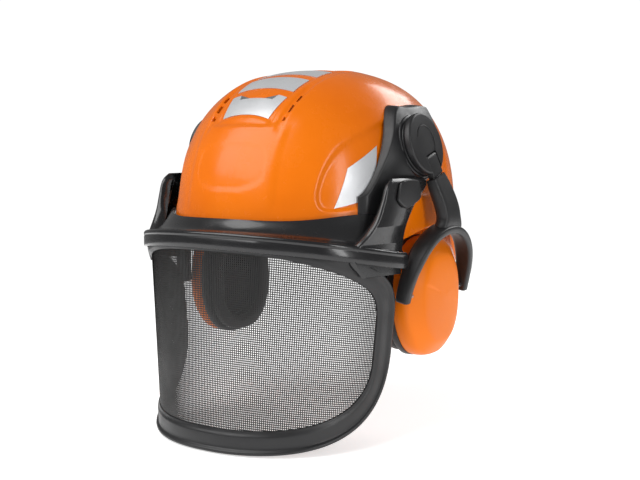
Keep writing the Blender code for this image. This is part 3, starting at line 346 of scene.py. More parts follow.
def drawn_steel():
    """Steel with fine lines: noise stretched along one axis, in gloss and bump."""
    made = Finish("drawn_steel", Metallic=1.0)
    stretched = made.node("Mapping", Vector=made.place(), Scale=(3000.0, 120.0, 3000.0))
    lines = made.node("TexNoise", Vector=stretched, Scale=1.0, Detail=3.0)
    made.feed("Base Color", made.mix(lines, colour(0.42, 0.42, 0.43), colour(0.62, 0.62, 0.63)))
    made.feed("Roughness", made.band(lines, 0.3, 0.7, 0.22, 0.42))
    made.bump(lines, 0.2, 0.00003)
    return made.material


FILM = silver_film()
STEEL = drawn_steel()

# %% [markdown]
# The soft parts are three: the skin of the ear cushions, the open foam inside a cup and on the
# brow, and the woven straps. The weave follows the strap's own UV map, so it runs with the strap.

# %% Soft finishes


def cushion_skin():
    """Soft vinyl: cell pattern as fine creases over a slow unevenness."""
    made = Finish("cushion_skin")
    creases = made.node("TexVoronoi", {"feature": "DISTANCE_TO_EDGE"}, Vector=made.place(), Scale=900.0)
    slow = made.noise(120.0, 3.0)
    made.feed("Base Color", made.mix(slow, colour(0.012, 0.012, 0.013), colour(0.022, 0.022, 0.023)))
    made.feed("Roughness", made.band(creases, 0.0, 0.25, 0.62, 0.45))
    made.bump(creases * 0.5 + slow, 0.4, 0.0002)
    return made.material


def open_foam():
    """Open foam: two sizes of pores, deep in the bump, with painted shade darkening them."""
    made = Finish("open_foam")
    pores = made.node("TexVoronoi", Vector=made.place(), Scale=1100.0)
    fine = made.noise(2600.0, 2.0)
    depth = pores * 0.7 + fine * 0.3
    # Painted shade: the colour darkens where the pores sink in the bump.
    made.feed("Base Color", made.mix(made.band(depth, 0.2, 0.6), colour(0.05, 0.05, 0.052),
                                     colour(0.022, 0.022, 0.023)))
    made.feed("Roughness", made.band(depth, 0.2, 0.7, 0.85, 0.98))
    made.bump(1 - depth, 0.8, 0.0004)
    return made.material


def webbing():
    """Woven strap: warp ribs along it and weft across, from two sine waves on its UV map; painted shade darkens
    the grooves between them.
    """
    made = Finish("webbing")
    x, y, _ = made.axes("UV")
    warp = abs((x * (math.pi / 0.0012)).sine())
    weft = abs((y * (math.pi / 0.0009)).sine())
    weave = warp * 0.6 + weft * 0.4
    # Painted shade: the colour follows the weave's bump, darker in the grooves and lighter on the crests, plus a
    # random tone from noise.
    tone = weave * 0.8 + made.noise(300.0) * 0.4
    made.feed("Base Color", made.mix(made.band(tone, 0.2, 1.1), colour(0.04, 0.04, 0.043),
                                     colour(0.13, 0.13, 0.135)))
    made.feed("Roughness", made.band(weave, 0.0, 1.0, 0.9, 0.7))
    made.bump(weave, 0.7, 0.0003)
    return made.material


SKIN = cushion_skin()
FOAM = open_foam()
WEBBING = webbing()
print("finishes:", len(bpy.data.materials))

# %% [markdown]
# ## The shell's form
# The shell is a dome on a squarish oval. Its plan is a superellipse of power 2.15, its upright
# section one of power 2.51, and its crown sits a little behind the middle. Below a shoulder it
# goes on down as a skirt to a rim that arches over the ears and flares at the nape.

# %% The shell as a function
HALF_WIDTH, FRONT, BACK, HEIGHT = 100.0, 117.5, 121.0, 122.0
PLAN_POWER, DOME_POWER = 2.15, 2.51
APEX_SHIFT = 10.0
PITCH = math.radians(5.2)
SHOULDER = 12.0
RIM_FRONT, RIM_EAR, RIM_NAPE = -11.0, 6.0, -23.0
NAPE_FLARE = 8.0
SHELL_WALL = 2.6


def power(value, exponent):
    return np.sign(value) * np.abs(value) ** exponent


def oval(angle, half_x, half_y, squareness):
    """Superellipse: |x/a|^n + |y/b|^n = 1, walked by angle."""
    return (half_x * power(np.cos(angle), 2 / squareness),
            half_y * power(np.sin(angle), 2 / squareness))


def smooth(value, start, end):
    """0 before start, 1 after end, and 3t^2 - 2t^3 between."""
    t = np.clip((value - start) / (end - start), 0.0, 1.0)
    return t * t * (3 - 2 * t)


def blend(low, high, share):
    return low * (1 - share) + high * share


def tip(points):
    """Tip the level shell forward by its pitch: a turn about x."""
    x, y, z = points[..., 0], points[..., 1], points[..., 2]
    c, s = math.cos(PITCH), math.sin(PITCH)
    return np.stack([x, y * c + z * s, z * c - y * s], -1)


def level(points):
    """The opposite of tip."""
    x, y, z = points[..., 0], points[..., 1], points[..., 2]
    c, s = math.cos(PITCH), math.sin(PITCH)
    return np.stack([x, y * c - z * s, z * c + y * s], -1)


def dome(angle, rise, lift=0.0):
    """The dome: plan oval scaled by cos(rise)^(2/n), height by sin(rise)^(2/n), crown shifted."""
    spread = power(np.cos(rise), 2 / DOME_POWER)
    height = power(np.sin(rise), 2 / DOME_POWER)
    length = np.where(np.sin(angle) > 0, BACK, FRONT) + lift
    x, y = oval(angle, HALF_WIDTH + lift, length, PLAN_POWER)
    return np.stack([x * spread, y * spread + APEX_SHIFT * (1 - spread ** 2),
                     (HEIGHT + lift) * height + 0 * x], -1)


def rim_height(angle):
    y = np.sin(angle) * BACK
    over_ear = blend(RIM_FRONT, RIM_EAR, smooth(y, -50, 22))
    return blend(over_ear, RIM_NAPE, smooth(y, 44, 88))


def shell_point(angle, share, lift=0.0):
    """Skirt for share 0 to 0.16 from rim to shoulder, then the dome up to the crown at 1."""
    low = np.clip(share / 0.16, 0, 1)
    height = blend(rim_height(angle), SHOULDER, low)
    flare = NAPE_FLARE * (np.minimum(height, 0.0) / RIM_NAPE) ** 2
    base_rise = np.arcsin((np.maximum(height, 0.0) / HEIGHT) ** (DOME_POWER / 2))
    top = np.clip((share - 0.16) / 0.84, 0, 1)
    rise = blend(base_rise, math.pi / 2, top)
    point = dome(angle, rise, lift + flare)
    point[..., 2] = np.where(share <= 0.16, height, point[..., 2])
    return point


print("shell height", round(float(shell_point(np.array([0.0]), np.array([1.0]))[0, 2]), 1), "mm")

# %% [markdown]
# ## What is pressed into the shell
# A helmet shell is stiffened and styled by shallow steps: a swept panel on each side, a tray on
# the crown for the films, vent channels beside it, and a blank badge panel in front. Each is an
# outline with a depth. The distance to the outline gives a soft ramp, so the steps shade as a
# moulding does.

# %% Outlines and depths


def inside_distance(x, y, outline):
    """Signed distance to a closed outline: positive inside, from the nearest edge."""
    outline = np.asarray(outline, float)
    best = np.full(x.shape, 1e9)
    inside = np.zeros(x.shape, bool)
    for (ax, ay), (bx, by) in zip(outline, np.roll(outline, -1, 0)):
        ex, ey = bx - ax, by - ay
        t = np.clip(((x - ax) * ex + (y - ay) * ey) / (ex * ex + ey * ey), 0, 1)
        best = np.minimum(best, np.hypot(x - ax - t * ex, y - ay - t * ey))
        crosses = (ay > y) != (by > y)
        inside ^= crosses & (x < ax + (y - ay) * ex / (ey if ey else 1e-9))
    return np.where(inside, best, -best)


def rounded(outline, rounds=3):
    """Corner cutting: each corner becomes two points at a quarter of its edges, repeated."""
    points = np.asarray(outline, float)
    for _ in range(rounds):
        after = np.roll(points, -1, 0)
        points = np.stack([points * 0.75 + after * 0.25, points * 0.25 + after * 0.75], 1).reshape(-1, 2)
    return points


def corners_kept(outline, share):
    """Each corner as two points a small share along its edges, for a tighter rounding."""
    points = np.asarray(outline, float)
    before, after = np.roll(points, 1, 0), np.roll(points, -1, 0)
    return np.stack([blend(points, before, share), blend(points, after, share)], 1).reshape(-1, 2)


SIDE_PANEL = rounded([(-88, 7), (-95, 15), (-92, 33), (-84, 49), (-72, 61), (-40, 78), (0, 89),
                      (30, 97), (44, 90), (40, 30), (-40, 22)])
CROWN_TRAY = rounded([(-29, -104), (29, -104), (37, -84), (36, -14), (24, 4), (-24, 4), (-36, -14),
                      (-37, -84)], 2)
BADGE = rounded([(-29, 21), (29, 21), (31, 46), (24, 55), (-24, 55), (-31, 46)], 2)


def pressed_in(point):
    """Depth in millimetres of everything pressed into the level shell at a point."""
    x, y, z = point[..., 0], point[..., 1], point[..., 2]
    side = inside_distance(y, z, SIDE_PANEL)
    depth = 1.9 * smooth(side, -0.6, 2.6) * (np.abs(x) > 40)
    high = z > 50
    tray = inside_distance(x, y, CROWN_TRAY)
    depth = depth + 1.5 * smooth(tray, -0.8, 1.8) * high
    step = inside_distance(np.abs(x), y, [(-1, -99), (25, -99), (29, -60), (29, -18), (-1, -18)])
    depth = depth + 0.7 * smooth(step, -0.6, 0.8) * high
    lane = np.abs(np.abs(x) - 32.5 - (y + 90) * 0.08)
    along = smooth(y, -103, -98) * (1 - smooth(y, -72, -64))
    depth = depth + 0.9 * (1 - smooth(lane, 1.6, 3.2)) * along * high
    badge = inside_distance(x, z, BADGE)
    depth = depth + 0.55 * smooth(badge, -0.5, 1.2) * (y < -40)
    ridge = smooth(np.abs(x), 35, 41) * (1 - smooth(z, 60, 78)) * (y < -40)
    return depth + 0.7 * ridge * smooth(z, 2, 14) * (1 - smooth(np.abs(x), 52, 74))


print("steps pressed in:", 5)

# %% [markdown]
# ## The shell
# The outer surface is the dome moved inward along its normal by the pressed depth. The rim is
# rolled round to the inner surface, one wall thickness inside, so the piece is a closed body
# with a real edge that shows from below.

# %% Build the shell


def with_normals(points):
    """Unit normals of a grid from the cross product of its two directions."""
    along = np.gradient(points, axis=0)
    across = np.empty_like(points)
    across[:, 1:-1] = points[:, 2:] - points[:, :-2]
    across[:, 0] = points[:, 1] - points[:, -1]
    across[:, -1] = points[:, 0] - points[:, -2]
    normal = np.cross(across, along)
    normal /= np.maximum(np.linalg.norm(normal, axis=-1, keepdims=True), 1e-9)
    away = np.sum(normal * (points - np.array([0, 0, 10.0])), -1, keepdims=True)
    return normal * np.where(away < 0, -1, 1)


def shell_rows(shares, columns, depth=0.0, features=True):
    angle = np.linspace(0, TAU, columns, endpoint=False)[None, :]
    share = np.asarray(shares)[:, None]
    points = shell_point(angle + 0 * share, share + 0 * angle)
    sink = np.full(points.shape[:2], depth)
    if features:
        sink = sink + pressed_in(points)
    sink = np.minimum(sink, 400 * (1.0005 - share))
    return points - with_normals(points) * sink[..., None]


def build_shell():
    columns = 520
    outer = shell_rows(np.concatenate([np.linspace(0.004, 0.16, 22), np.linspace(0.167, 0.9995, 112)]),
                       columns)
    inner = shell_rows(np.linspace(0.9995, 0.004, 40), columns, SHELL_WALL, False)
    rim = (outer[:1] + inner[-1:]) / 2 - np.array([0, 0, 0.7])
    edge_out, edge_in = blend(outer[:1], rim, 0.5), blend(inner[-1:], rim, 0.5)
    edge_out[..., 2] -= 0.2
    edge_in[..., 2] -= 0.2
    rows = np.concatenate([outer[::-1], edge_out, rim, edge_in, inner[::-1]])
    made = make_piece("shell", tip(rows), ORANGE, "shell", ["outer_shell"], angle=50)
    return made


shell = build_shell()
print("shell faces", len(shell.data.polygons))

# %% [markdown]
# The vents are real slots, three on each side of the crown tray. They are cut last, with a
# boolean, because a slot with square walls would need a far finer grid.

# %% Cut the vents


def cut_vents(made):
    bm = bmesh.new()
    for side in (1, -1):
        for i in range(3):
            x, y = side * (32.2 + 0.75 * i), -94 + 8.4 * i
            corners = np.array([(dx, dy, dz) for dz in (-12, 30) for dx, dy in
                                ((-1.3, -2.9), (1.3, -2.9), (1.3, 2.9), (-1.3, 2.9))])
            spots = tip(corners + np.array([x, y, 84.0 + 6.5 * i])) * MM
            verts = [bm.verts.new(spot) for spot in spots]
            for face in ((3, 2, 1, 0), (4, 5, 6, 7), (0, 1, 5, 4), (1, 2, 6, 5), (2, 3, 7, 6), (3, 0, 4, 7)):
                bm.faces.new([verts[k] for k in face])
    mesh = bpy.data.meshes.new("vent_cutter")
    bm.to_mesh(mesh)
    bm.free()
    cutter = bpy.data.objects.new("vent_cutter", mesh)
    bpy.context.scene.collection.objects.link(cutter)
    tool = made.modifiers.new("vents", "BOOLEAN")
    tool.object, tool.operation, tool.solver = cutter, "DIFFERENCE", "EXACT"
    bpy.context.view_layer.update()
    graph = bpy.context.evaluated_depsgraph_get()
    result = bpy.data.meshes.new_from_object(made.evaluated_get(graph))
    made.modifiers.clear()
    made.data = result
    bpy.data.objects.remove(cutter, do_unlink=True)


cut_vents(shell)
print("shell after vents", len(shell.data.polygons))

# %% [markdown]
# ## Films in the tray and on the sides
# A reflective film is cut from a flat sheet and laid in its recess, so it follows the shell. Each
# film is a patch: across and along its outline, each point dropped onto the sunken surface.

# %% Points of the shell over a plan or beside it


def sunk(points, lift):
    """Move points of the dome inward by the pressed depth, then outward by a lift."""
    return points - with_open_normals(points) * (pressed_in(points) - lift)[..., None]


def with_open_normals(points):
    """Unit normals of an open patch, turned to point away from the shell's middle."""
    normal = np.cross(np.gradient(points, axis=1), np.gradient(points, axis=0))
    normal /= np.maximum(np.linalg.norm(normal, axis=-1, keepdims=True), 1e-9)
    away = np.sum(normal * (points - np.array([0, 0, 10.0])), -1, keepdims=True)
    return normal * np.where(away < 0, -1, 1)


def on_top(x, y):
    """Height of the dome over a plan point, by repeating the plan equation until it settles."""
    spread = np.full(x.shape, 0.5)
    for _ in range(40):
        own = y - APEX_SHIFT * (1 - spread ** 2)
        length = np.where(own > 0, BACK, FRONT)
        reach = (np.abs(x) / HALF_WIDTH) ** PLAN_POWER + (np.abs(own) / length) ** PLAN_POWER
        spread = np.minimum(reach ** (1 / PLAN_POWER), 1.0)
    return np.stack([x, y, HEIGHT * (1 - spread ** DOME_POWER) ** (1 / DOME_POWER)], -1)


def on_side(y, z, lift=0.0):
    """The left surface of the dome over a point of the side view."""
    height = np.clip(z, 0, None) / (HEIGHT + lift)
    spread = (1 - np.minimum(height, 1) ** DOME_POWER) ** (1 / DOME_POWER)
    own = y - APEX_SHIFT * (1 - spread ** 2)
    length = np.where(own > 0, BACK, FRONT) + lift
    rest = np.clip(spread ** PLAN_POWER - (np.abs(own) / length) ** PLAN_POWER, 0, None)
    return np.stack([(HALF_WIDTH + lift) * rest ** (1 / PLAN_POWER), y + 0 * z, z + 0 * y], -1)


def film(name, points, replaces):
    """A thin sheet with its edge turned down, from an open patch."""
    top = sunk(points, 0.55)
    low = sunk(points, 0.12)
    columns = np.concatenate([top, low[:, ::-1]], 1)
    return make_piece(name, tip(columns), FILM, "shell", [replaces], angle=30)


def crown_film(name, front, back, front_half, back_half, notch):
    """A trapezium over the crown; its rear edge steps forward over the middle by the notch."""
    u = np.linspace(-1, 1, 61)[None, :]
    v = np.linspace(0, 1, 30)[:, None]
    rear = back - notch * (1 - smooth(np.abs(u), 0.60, 0.70))
    half = blend(front_half, back_half, v)
    return film(name, on_top(u * half, blend(front, rear, v)), name)


crown_film("crown_film_front", -98, -82, 21, 25, 4.5)
crown_film("crown_film_middle", -76, -58, 26, 27, 0.0)
crown_film("crown_film_rear", -50, -28, 28, 26, 0.0)


def side_film(side, name):
    u = np.linspace(0, 1, 40)[None, :]
    v = np.linspace(0, 1, 60)[:, None]
    low_y, low_z = blend(-84, -60, u), blend(12, 20.5, u)
    top_y, top_z = blend(-74.5, -50, u), blend(41, 59, u)
    patch = on_side(blend(low_y, top_y, v), blend(low_z, top_z, v))
    if side < 0:
        patch = mirror(patch)
    return film("side_film_" + name, patch, "side_film_" + name)


both_sides(side_film)
print("films laid")

# %% [markdown]
# ## Side housings
# On each side a black housing rises off the shell to carry the muff's pivot. Its edges ramp up
# from the shell over some seven millimetres, and its face is nearly flat. A leg runs down from it
# to the brow guard's pivot. It is a height field over the side view, closed underneath.

# %% Build the housings


def side_housing(side, name):
    steps, loops = 90, 64
    y = np.linspace(-70, 19, steps)[:, None]
    t = np.linspace(0, 1, loops)[None, :]
    top = blend(20, 90, smooth(y, -74, -24)) + 4 * smooth(y, -20, 10)
    low = blend(5, 37, smooth(y, -60, -14)) + 14 * smooth(y, -6, 12)
    z = blend(low, top, t)
    edge = np.minimum(np.minimum(y + 70, 19 - y) * 0.9, np.minimum(top - z, z - low))
    tall = blend(3.2, 8.0, smooth(z, 30, 52) * smooth(y, -62, -38))
    lift = 0.5 + tall * smooth(edge, -0.3, 4.0) ** 0.6
    outer = on_side(y + 0 * t, z)
    out = np.array([0.955, -0.05, 0.29])
    outer = outer + out * lift[..., None]
    under = on_side(y + 0 * t, z, 0.15)
    loop = np.concatenate([outer, under[:, ::-1]], 1)
    points = tip(loop)
    if side < 0:
        points = mirror(points)
    return make_piece("side_housing_" + name, points, SATIN, "shell", ["side_plate_" + name],
                      angle=50)


both_sides(side_housing)
print("housings built")

# %% [markdown]
# ## The brow guard
# The guard is one glossy moulding: a peak round the brow with a shallow valley on top, a rounded
# edge and a skirt, and an upright fin at each end that turns on a pivot. The peak is one closed
# section swept round the front; each fin is a stack of closed sections.

# %% Peak
GUARD_HALF, GUARD_FRONT, GUARD_BACK, GUARD_POWER = 108.5, 139.0, 42.0, 2.2
GUARD_SLOPE, GUARD_EDGE, GUARD_SKIRT, GUARD_WALL = -0.17, -19.3, 10.5, 2.4
ARM_FACE = 106.0
ROOT_RISE, SIDE_RISE = 1.0, 8.5    # how far the root climbs the shell, in front and at the sides
SKIRT_SEEN = 12.1
PIVOT = np.array([0.0, -40.0, 30.0])


def guard_edge(angle, drop=0.0, inset=0.0):
    """Plan oval of the peak's edge, its height a straight slope toward the back."""
    length = GUARD_FRONT - GUARD_BACK
    x, y = oval(angle, GUARD_HALF - inset, length - inset, GUARD_POWER)
    y = y - GUARD_BACK
    z = GUARD_EDGE + GUARD_SLOPE * (-GUARD_BACK + length * np.sin(angle)) - drop
    return np.stack([x, y, z + 0 * x], -1)


def guard_root(angle, gap=2.6):
    start = math.radians(21)
    turn = blend(-math.pi + start, -start, (angle + math.pi) / math.pi)
    root = tip(dome(turn, 0.0 * turn, gap))
    root[..., 2] += ROOT_RISE + SIDE_RISE * smooth(root[..., 1], -117, -62)
    return root


def peak():
    """Section by section: root, valley (a half sine sunk 3.5), lip, skirt, inside and underside."""
    angle = np.linspace(-math.pi + 0.004, -0.004, 240)
    root, rim = guard_root(angle), guard_edge(angle, 0.0, 3.4)
    rows = []
    for share in np.linspace(0, 1, 22):
        sink = 3.6 * math.sin(math.pi * share) ** 1.2 + 0.5 * share
        rows.append(root * (1 - share) + rim * share - np.array([0, 0, sink]))
    for turn in np.linspace(0.15, 1, 7) * math.pi / 2:
        rows.append(guard_edge(angle, 1.9 - 1.9 * math.cos(turn), 2.4 * (1 - math.sin(turn))))
    for drop, inset in ((3.2, 0.0), (3.6, 0.25), (4.0, 0.25), (4.4, 0.0), (10.8, 0.0), (11.8, 0.3),
                        (SKIRT_SEEN, 1.0), (SKIRT_SEEN, 2.0), (11.4, GUARD_WALL), (6.4, 2.8), (5.4, 3.6)):
        rows.append(guard_edge(angle, drop, inset))
    for share in np.linspace(0.94, 0, 14):
        sink = 3.6 * math.sin(math.pi * share) ** 1.2 + 0.5 * share + GUARD_WALL
        rows.append(root * (1 - share) + rim * share - np.array([0, 0, sink]))
    return np.stack(rows, 1)


def smooth_curve(points, count):
    """A Catmull-Rom curve through points, sampled evenly in its parameter."""
    p = np.asarray(points, float)
    p = np.concatenate([2 * p[:1] - p[1:2], p, 2 * p[-1:] - p[-2:-1]])
    t = np.linspace(0, len(p) - 3 - 1e-6, count)
    i = t.astype(int)
    f = (t - i)[:, None]
    a, b, c, d = p[i], p[i + 1], p[i + 2], p[i + 3]
    return 0.5 * (2 * b + (c - a) * f + (2 * a - 5 * b + 4 * c - d) * f ** 2
                  + (3 * b - a - 3 * c + d) * f ** 3)


def fin():
    """The upright fin as level sections: front flange turned inward, flat outer face."""
    z = np.linspace(-27, 40, 80)
    front = smooth_curve([(-86, -27), (-93, -16), (-90, -6), (-81, 3), (-74, 12), (-69, 24), (-65, 34),
                          (-58, 40.5)], 200)
    rear = smooth_curve([(-47, -27), (-46, -14), (-42, 2), (-35, 13), (-26, 23), (-15, 31), (-11, 36),
                         (-16, 40.5)], 200)
    y0 = np.interp(z, front[:, 1], front[:, 0])
    y1 = np.interp(z, rear[:, 1], rear[:, 0])
    inner = blend(93.5, 99.5, smooth(z, -12, 36)) + 8 * (1 - smooth(z, -27, -18))
    inner = np.where(z > 36, inner + (z - 36) * 0.8, inner)
    thin = np.full_like(z, 102.6)
    cap = np.clip((z - 36) / 4, 0, 1) ** 2 * 1.6
    face = np.full_like(z, ARM_FACE) - cap
    cols = []
    for dx, dy in ((0, 1.6), (-0.35, 0.75), (-1.0, 0.15)):
        cols.append(np.stack([face + dx, y0 + dy, z], -1))
    for share in np.linspace(0.1, 1.0, 8):
        x = blend(face - 1.2, inner, share)
        cols.append(np.stack([x, y0 - 0.1 + 5.5 * share ** 2, z], -1))
    for share in np.linspace(0.1, 1.0, 8):
        x = blend(inner, thin, 1 - (1 - share) ** 2)
        y = y0 + 5.4 + 1.6 * share ** 0.5 + 6 * share
        cols.append(np.stack([x, np.minimum(y, y1 - 3), z], -1))
    for dx, dy in ((0, 0.8), (0.6, 0.1), (2.4, 0.0), (3.0, 0.4), (3.4, 1.4)):
        cols.append(np.stack([np.minimum(thin + dx, face), y1 - dy, z], -1))
    points = np.stack(cols, 1)
    beyond = np.clip((-GUARD_BACK - points[..., 1]) / (GUARD_FRONT - GUARD_BACK), 0, 1)
    plan = GUARD_HALF * (1 - beyond ** GUARD_POWER) ** (1 / GUARD_POWER)
    points[..., 0] -= np.clip(ARM_FACE - plan, 0, None)
    return points


def boss():
    """A turned boss round the pivot, between the fin and the housing."""
    turn = np.linspace(0, TAU, 48, endpoint=False)[None, :]
    x = np.array([101.0, 101.0, 101.6, 104.0])[:, None]
    radius = np.array([4.0, 7.4, 8.0, 8.0])[:, None]
    return np.stack([x + 0 * turn, PIVOT[1] + radius * np.cos(turn), PIVOT[2] + radius * np.sin(turn)], -1)


fins = [(fin(), False), (mirror(fin()), False), (boss(), False), (mirror(boss()), False)]
make_joined("brow_guard_moulding", [(peak(), False)] + fins, GLOSS, "visor", ["brow_guard"],
            angle=38)
print("guard built")

# %% [markdown]
# The cap over each pivot is a flattened pentagon with rounded corners and a soft edge. A plate
# like this is a stack of outlines: the same outline, moved inward for its rounded edge.

# %% Plates with a soft edge


def inward(outline, distance):
    """Move an outline of points along its own inward normals."""
    ahead, behind = np.roll(outline, -1, 0), np.roll(outline, 1, 0)
    along = ahead - behind
    along /= np.maximum(np.linalg.norm(along, axis=1, keepdims=True), 1e-9)
    area = np.sum(outline[:, 0] * ahead[:, 1] - outline[:, 1] * ahead[:, 0])
    normal = np.stack([-along[:, 1], along[:, 0]], 1) * (1 if area > 0 else -1)
    return outline + normal * distance


def soft_plate(outline, low, high, edge, axes, origin, steps=5):
    """Rows of an outline from low to high along the third axis, its rims rounded by edge."""
    rows = []
    for turn in np.linspace(0, math.pi / 2, steps):
        rows.append((inward(outline, edge * (1 - math.sin(turn))), low + edge * (1 - math.cos(turn))))
    for turn in np.linspace(math.pi / 2, 0, steps):
        rows.append((inward(outline, edge * (1 - math.sin(turn))), high - edge * (1 - math.cos(turn))))
    a, b, n = [np.asarray(axis, float) for axis in axes]
    return np.stack([origin + o[:, :1] * a + o[:, 1:] * b + n * h for o, h in rows])


SIDE_AXES = ((0, 1, 0), (0, 0, 1), (1, 0, 0))


def pivot_cap(side, name):
    outline = rounded(corners_kept([(-11, 9), (13, 9), (17, -5), (-4, -12), (-16, -5)], 0.14), 2)
    points = soft_plate(outline, 0.3, 2.7, 0.9, SIDE_AXES, PIVOT + np.array([ARM_FACE, 0, 0]))
    points = points if side > 0 else mirror(points)
    return make_piece("pivot_cap_" + name, points, SATIN, "visor", ["visor_pivot_cap_" + name],
                      angle=60)


both_sides(pivot_cap)
print("caps built")

# %% [markdown]
# ## The visor frame
# The frame is a moulded rim round the mesh, broad at the sides and below. On the flat pattern it
# is a rounded rectangle whose lower edge is an arc. The pattern wraps round the plan oval of the
# guard. A closed section with a raised outer bead and a thin inner lip runs all the way round.

# %% Frame
VISOR_HALF, VISOR_FRONT, VISOR_BACK = 103.0, 135.0, 47.5
TAPER, REACH = 0.10, 0.03
DEPTH, SIDE_DEPTH, VISOR_WALL, BAND, CORNER = 143.0, 92.0, 3.0, 17.0, 4.8
TOP_TUCK = 4.0            # the frame's upper edge hides behind the guard's skirt


def visor_point(angle, depth, inset=0.0):
    """Angle round the plan, depth below the guard; the sheet narrows and leans as it goes down."""
    half = VISOR_HALF - TAPER * depth - inset
    front = VISOR_FRONT + REACH * depth - inset
    x, y = oval(angle, half, front - VISOR_BACK, GUARD_POWER)
    hang = guard_edge(angle, GUARD_SKIRT + 0.6)[..., 2]
    return np.stack([x, y - VISOR_BACK, hang - depth], -1)


def visor_bottom(angle):
    turn = np.clip(np.abs(angle / (math.pi / 2) + 1), 0, 1)
    return blend(SIDE_DEPTH, DEPTH, np.sqrt(1 - turn ** 2))


def down_opening(angle, band, share):
    """Depth at a share down the opening: a narrow upper member above, the long arc below."""
    narrow = blend(0.42, 0.75, smooth(np.abs(angle + math.pi / 2), 0.3, 1.35))
    return blend(band * narrow - TOP_TUCK, visor_bottom(angle) - band, share)


def loop_point(turn, band):
    """Angle and depth of the outline moved inward by a band."""
    x, y = oval(turn, 1.0, 1.0, CORNER)
    angle = -math.pi / 2 + (math.pi / 2 - band / VISOR_HALF) * x
    return angle, down_opening(angle, band, (1 - y) / 2)


def even_turns(count):
    """Turns that give even steps along the frame's middle line."""
    turn = np.linspace(0, TAU, 4001)
    points = visor_point(*loop_point(turn, BAND / 2))
    run = np.concatenate([[0], np.cumsum(np.linalg.norm(np.diff(points, axis=0), axis=1))])
    return np.interp(np.linspace(0, run[-1], count, endpoint=False), run, turn)


def frame_rim():
    section = ((0.0, 0.4), (0.05, 1.1), (0.5, 1.7), (1.3, 1.9), (2.3, 1.7), (2.9, 1.1), (3.4, 0.3),
               (3.9, 0.0), (6.0, 0.05), (9.0, 0.25), (12.0, 0.2), (13.6, 0.0), (14.1, -0.5), (15.6, -0.7),
               (16.6, -1.0), (16.9, -1.6), (16.8, -2.4), (16.0, -2.9), (9.0, -3.0), (2.0, -3.0),
               (0.6, -2.7), (0.1, -1.9), (0.0, -0.8))
    turns = even_turns(420)
    columns = [visor_point(*loop_point(turns, band), inset=-lift) for band, lift in section]
    return np.stack(columns, 1)


make_piece("visor_rim", frame_rim(), SATIN, "visor", ["visor_frame"],
           close_rows=True, angle=45)
print("visor rim built")

# %% [markdown]
# ## The woven wire
# The visor's mesh is woven steel wire, coated black, about a wire every millimetre and a half.
# Each wire is a thin three-sided bar that follows the curved sheet; the uprights lie just outside
# the cross wires. Real bars, and not a see-through picture, keep the mesh true in every view.

# %% Wires
PITCH_MM, WIRE_RADIUS = 1.55, 0.42
INSET = VISOR_WALL - 1.2


def bar(path, radius):
    """Three-sided bars along many paths at once: paths (n, steps, 3) to rings (n, steps, 3, 3)."""
    along = np.gradient(path, axis=1)
    along /= np.linalg.norm(along, axis=-1, keepdims=True)
    out = path * np.array([1.0, 1.0, 0.0]) + np.array([0.0, VISOR_BACK, 0.0])
    out /= np.linalg.norm(out, axis=-1, keepdims=True)
    side = np.cross(along, out)
    side /= np.linalg.norm(side, axis=-1, keepdims=True)
    out = np.cross(side, along)
    ring = []
    for turn in (0.5, 0.5 + 1 / 3, 0.5 + 2 / 3):
        ring.append(path + (out * math.cos(TAU * turn) + side * math.sin(TAU * turn)) * radius)
    return np.stack(ring, 2)


def wires(name, path, replaces=()):
    rings = bar(path, WIRE_RADIUS)
    count, steps = rings.shape[:2]
    one = np.array(grid_faces(steps, 3, False, True))
    faces = (one[None] + (np.arange(count) * steps * 3)[:, None, None]).reshape(-1, 4)
    ends = []
    for i in range(count):
        start = i * steps * 3
        ends += [[start + 2, start + 1, start], [start + steps * 3 - 3, start + steps * 3 - 2,
                                                 start + steps * 3 - 1]]
    mesh = bpy.data.meshes.new(name)
    mesh.from_pydata((rings.reshape(-1, 3) * MM).tolist(), [], faces.tolist() + ends)
    bm = bmesh.new()
    bm.from_mesh(mesh)
    bmesh.ops.recalc_face_normals(bm, faces=bm.faces)
    bm.to_mesh(mesh)
    bm.free()
    return place_piece(name, mesh, WIRE, "visor", replaces)


def wire_paths():
    band = BAND * 0.86
    span = math.pi / 2 - band / VISOR_HALF
    fine = np.linspace(-span, span, 2401)
    x = fine / span
    y = (1 - np.abs(x) ** CORNER) ** (1 / CORNER)
    upper = down_opening(fine - math.pi / 2, band, (1 - y) / 2)
    lower = down_opening(fine - math.pi / 2, band, (1 + y) / 2)
    middle = visor_point(fine - math.pi / 2, 50.0 + 0 * fine)
    run = np.concatenate([[0], np.cumsum(np.linalg.norm(np.diff(middle, axis=0), axis=1))])
    spots = np.interp(np.arange(PITCH_MM, run[-1] - PITCH_MM / 2, PITCH_MM), run, fine)
    top, low = np.interp(spots, fine, upper), np.interp(spots, fine, lower)
    share = np.linspace(0, 1, 9)[None, :]
    upright = visor_point(spots[:, None] - math.pi / 2 + 0 * share,
                          blend(top[:, None], low[:, None], share), INSET)
    levels = np.arange(upper.min() + PITCH_MM, lower.max() - 0.5, PITCH_MM)
    half = fine[1200:]
    reach = np.array([half[(upper[1200:] <= d) & (lower[1200:] >= d)].max() for d in levels])
    turn = np.sin(np.linspace(-1, 1, 71) * math.pi / 2)[None, :] * reach[:, None]
    cross = visor_point(turn - math.pi / 2, levels[:, None] + 0 * turn, INSET + 0.34)
    return upright, cross


upright_paths, cross_paths = wire_paths()
wires("mesh_uprights", upright_paths, ["visor_mesh"])
wires("mesh_cross_wires", cross_paths, ["visor_mesh"])
print("wires", len(upright_paths), "up", len(cross_paths), "across")

# %% [markdown]
# ## Ear muffs: the pivot
# Each muff hangs from a disc that turns on a stepped boss. Everything there is drawn on three
# directions: outward from the disc's face, down along the arm, and across it. The left side is
# built, and the right is its mirror image.

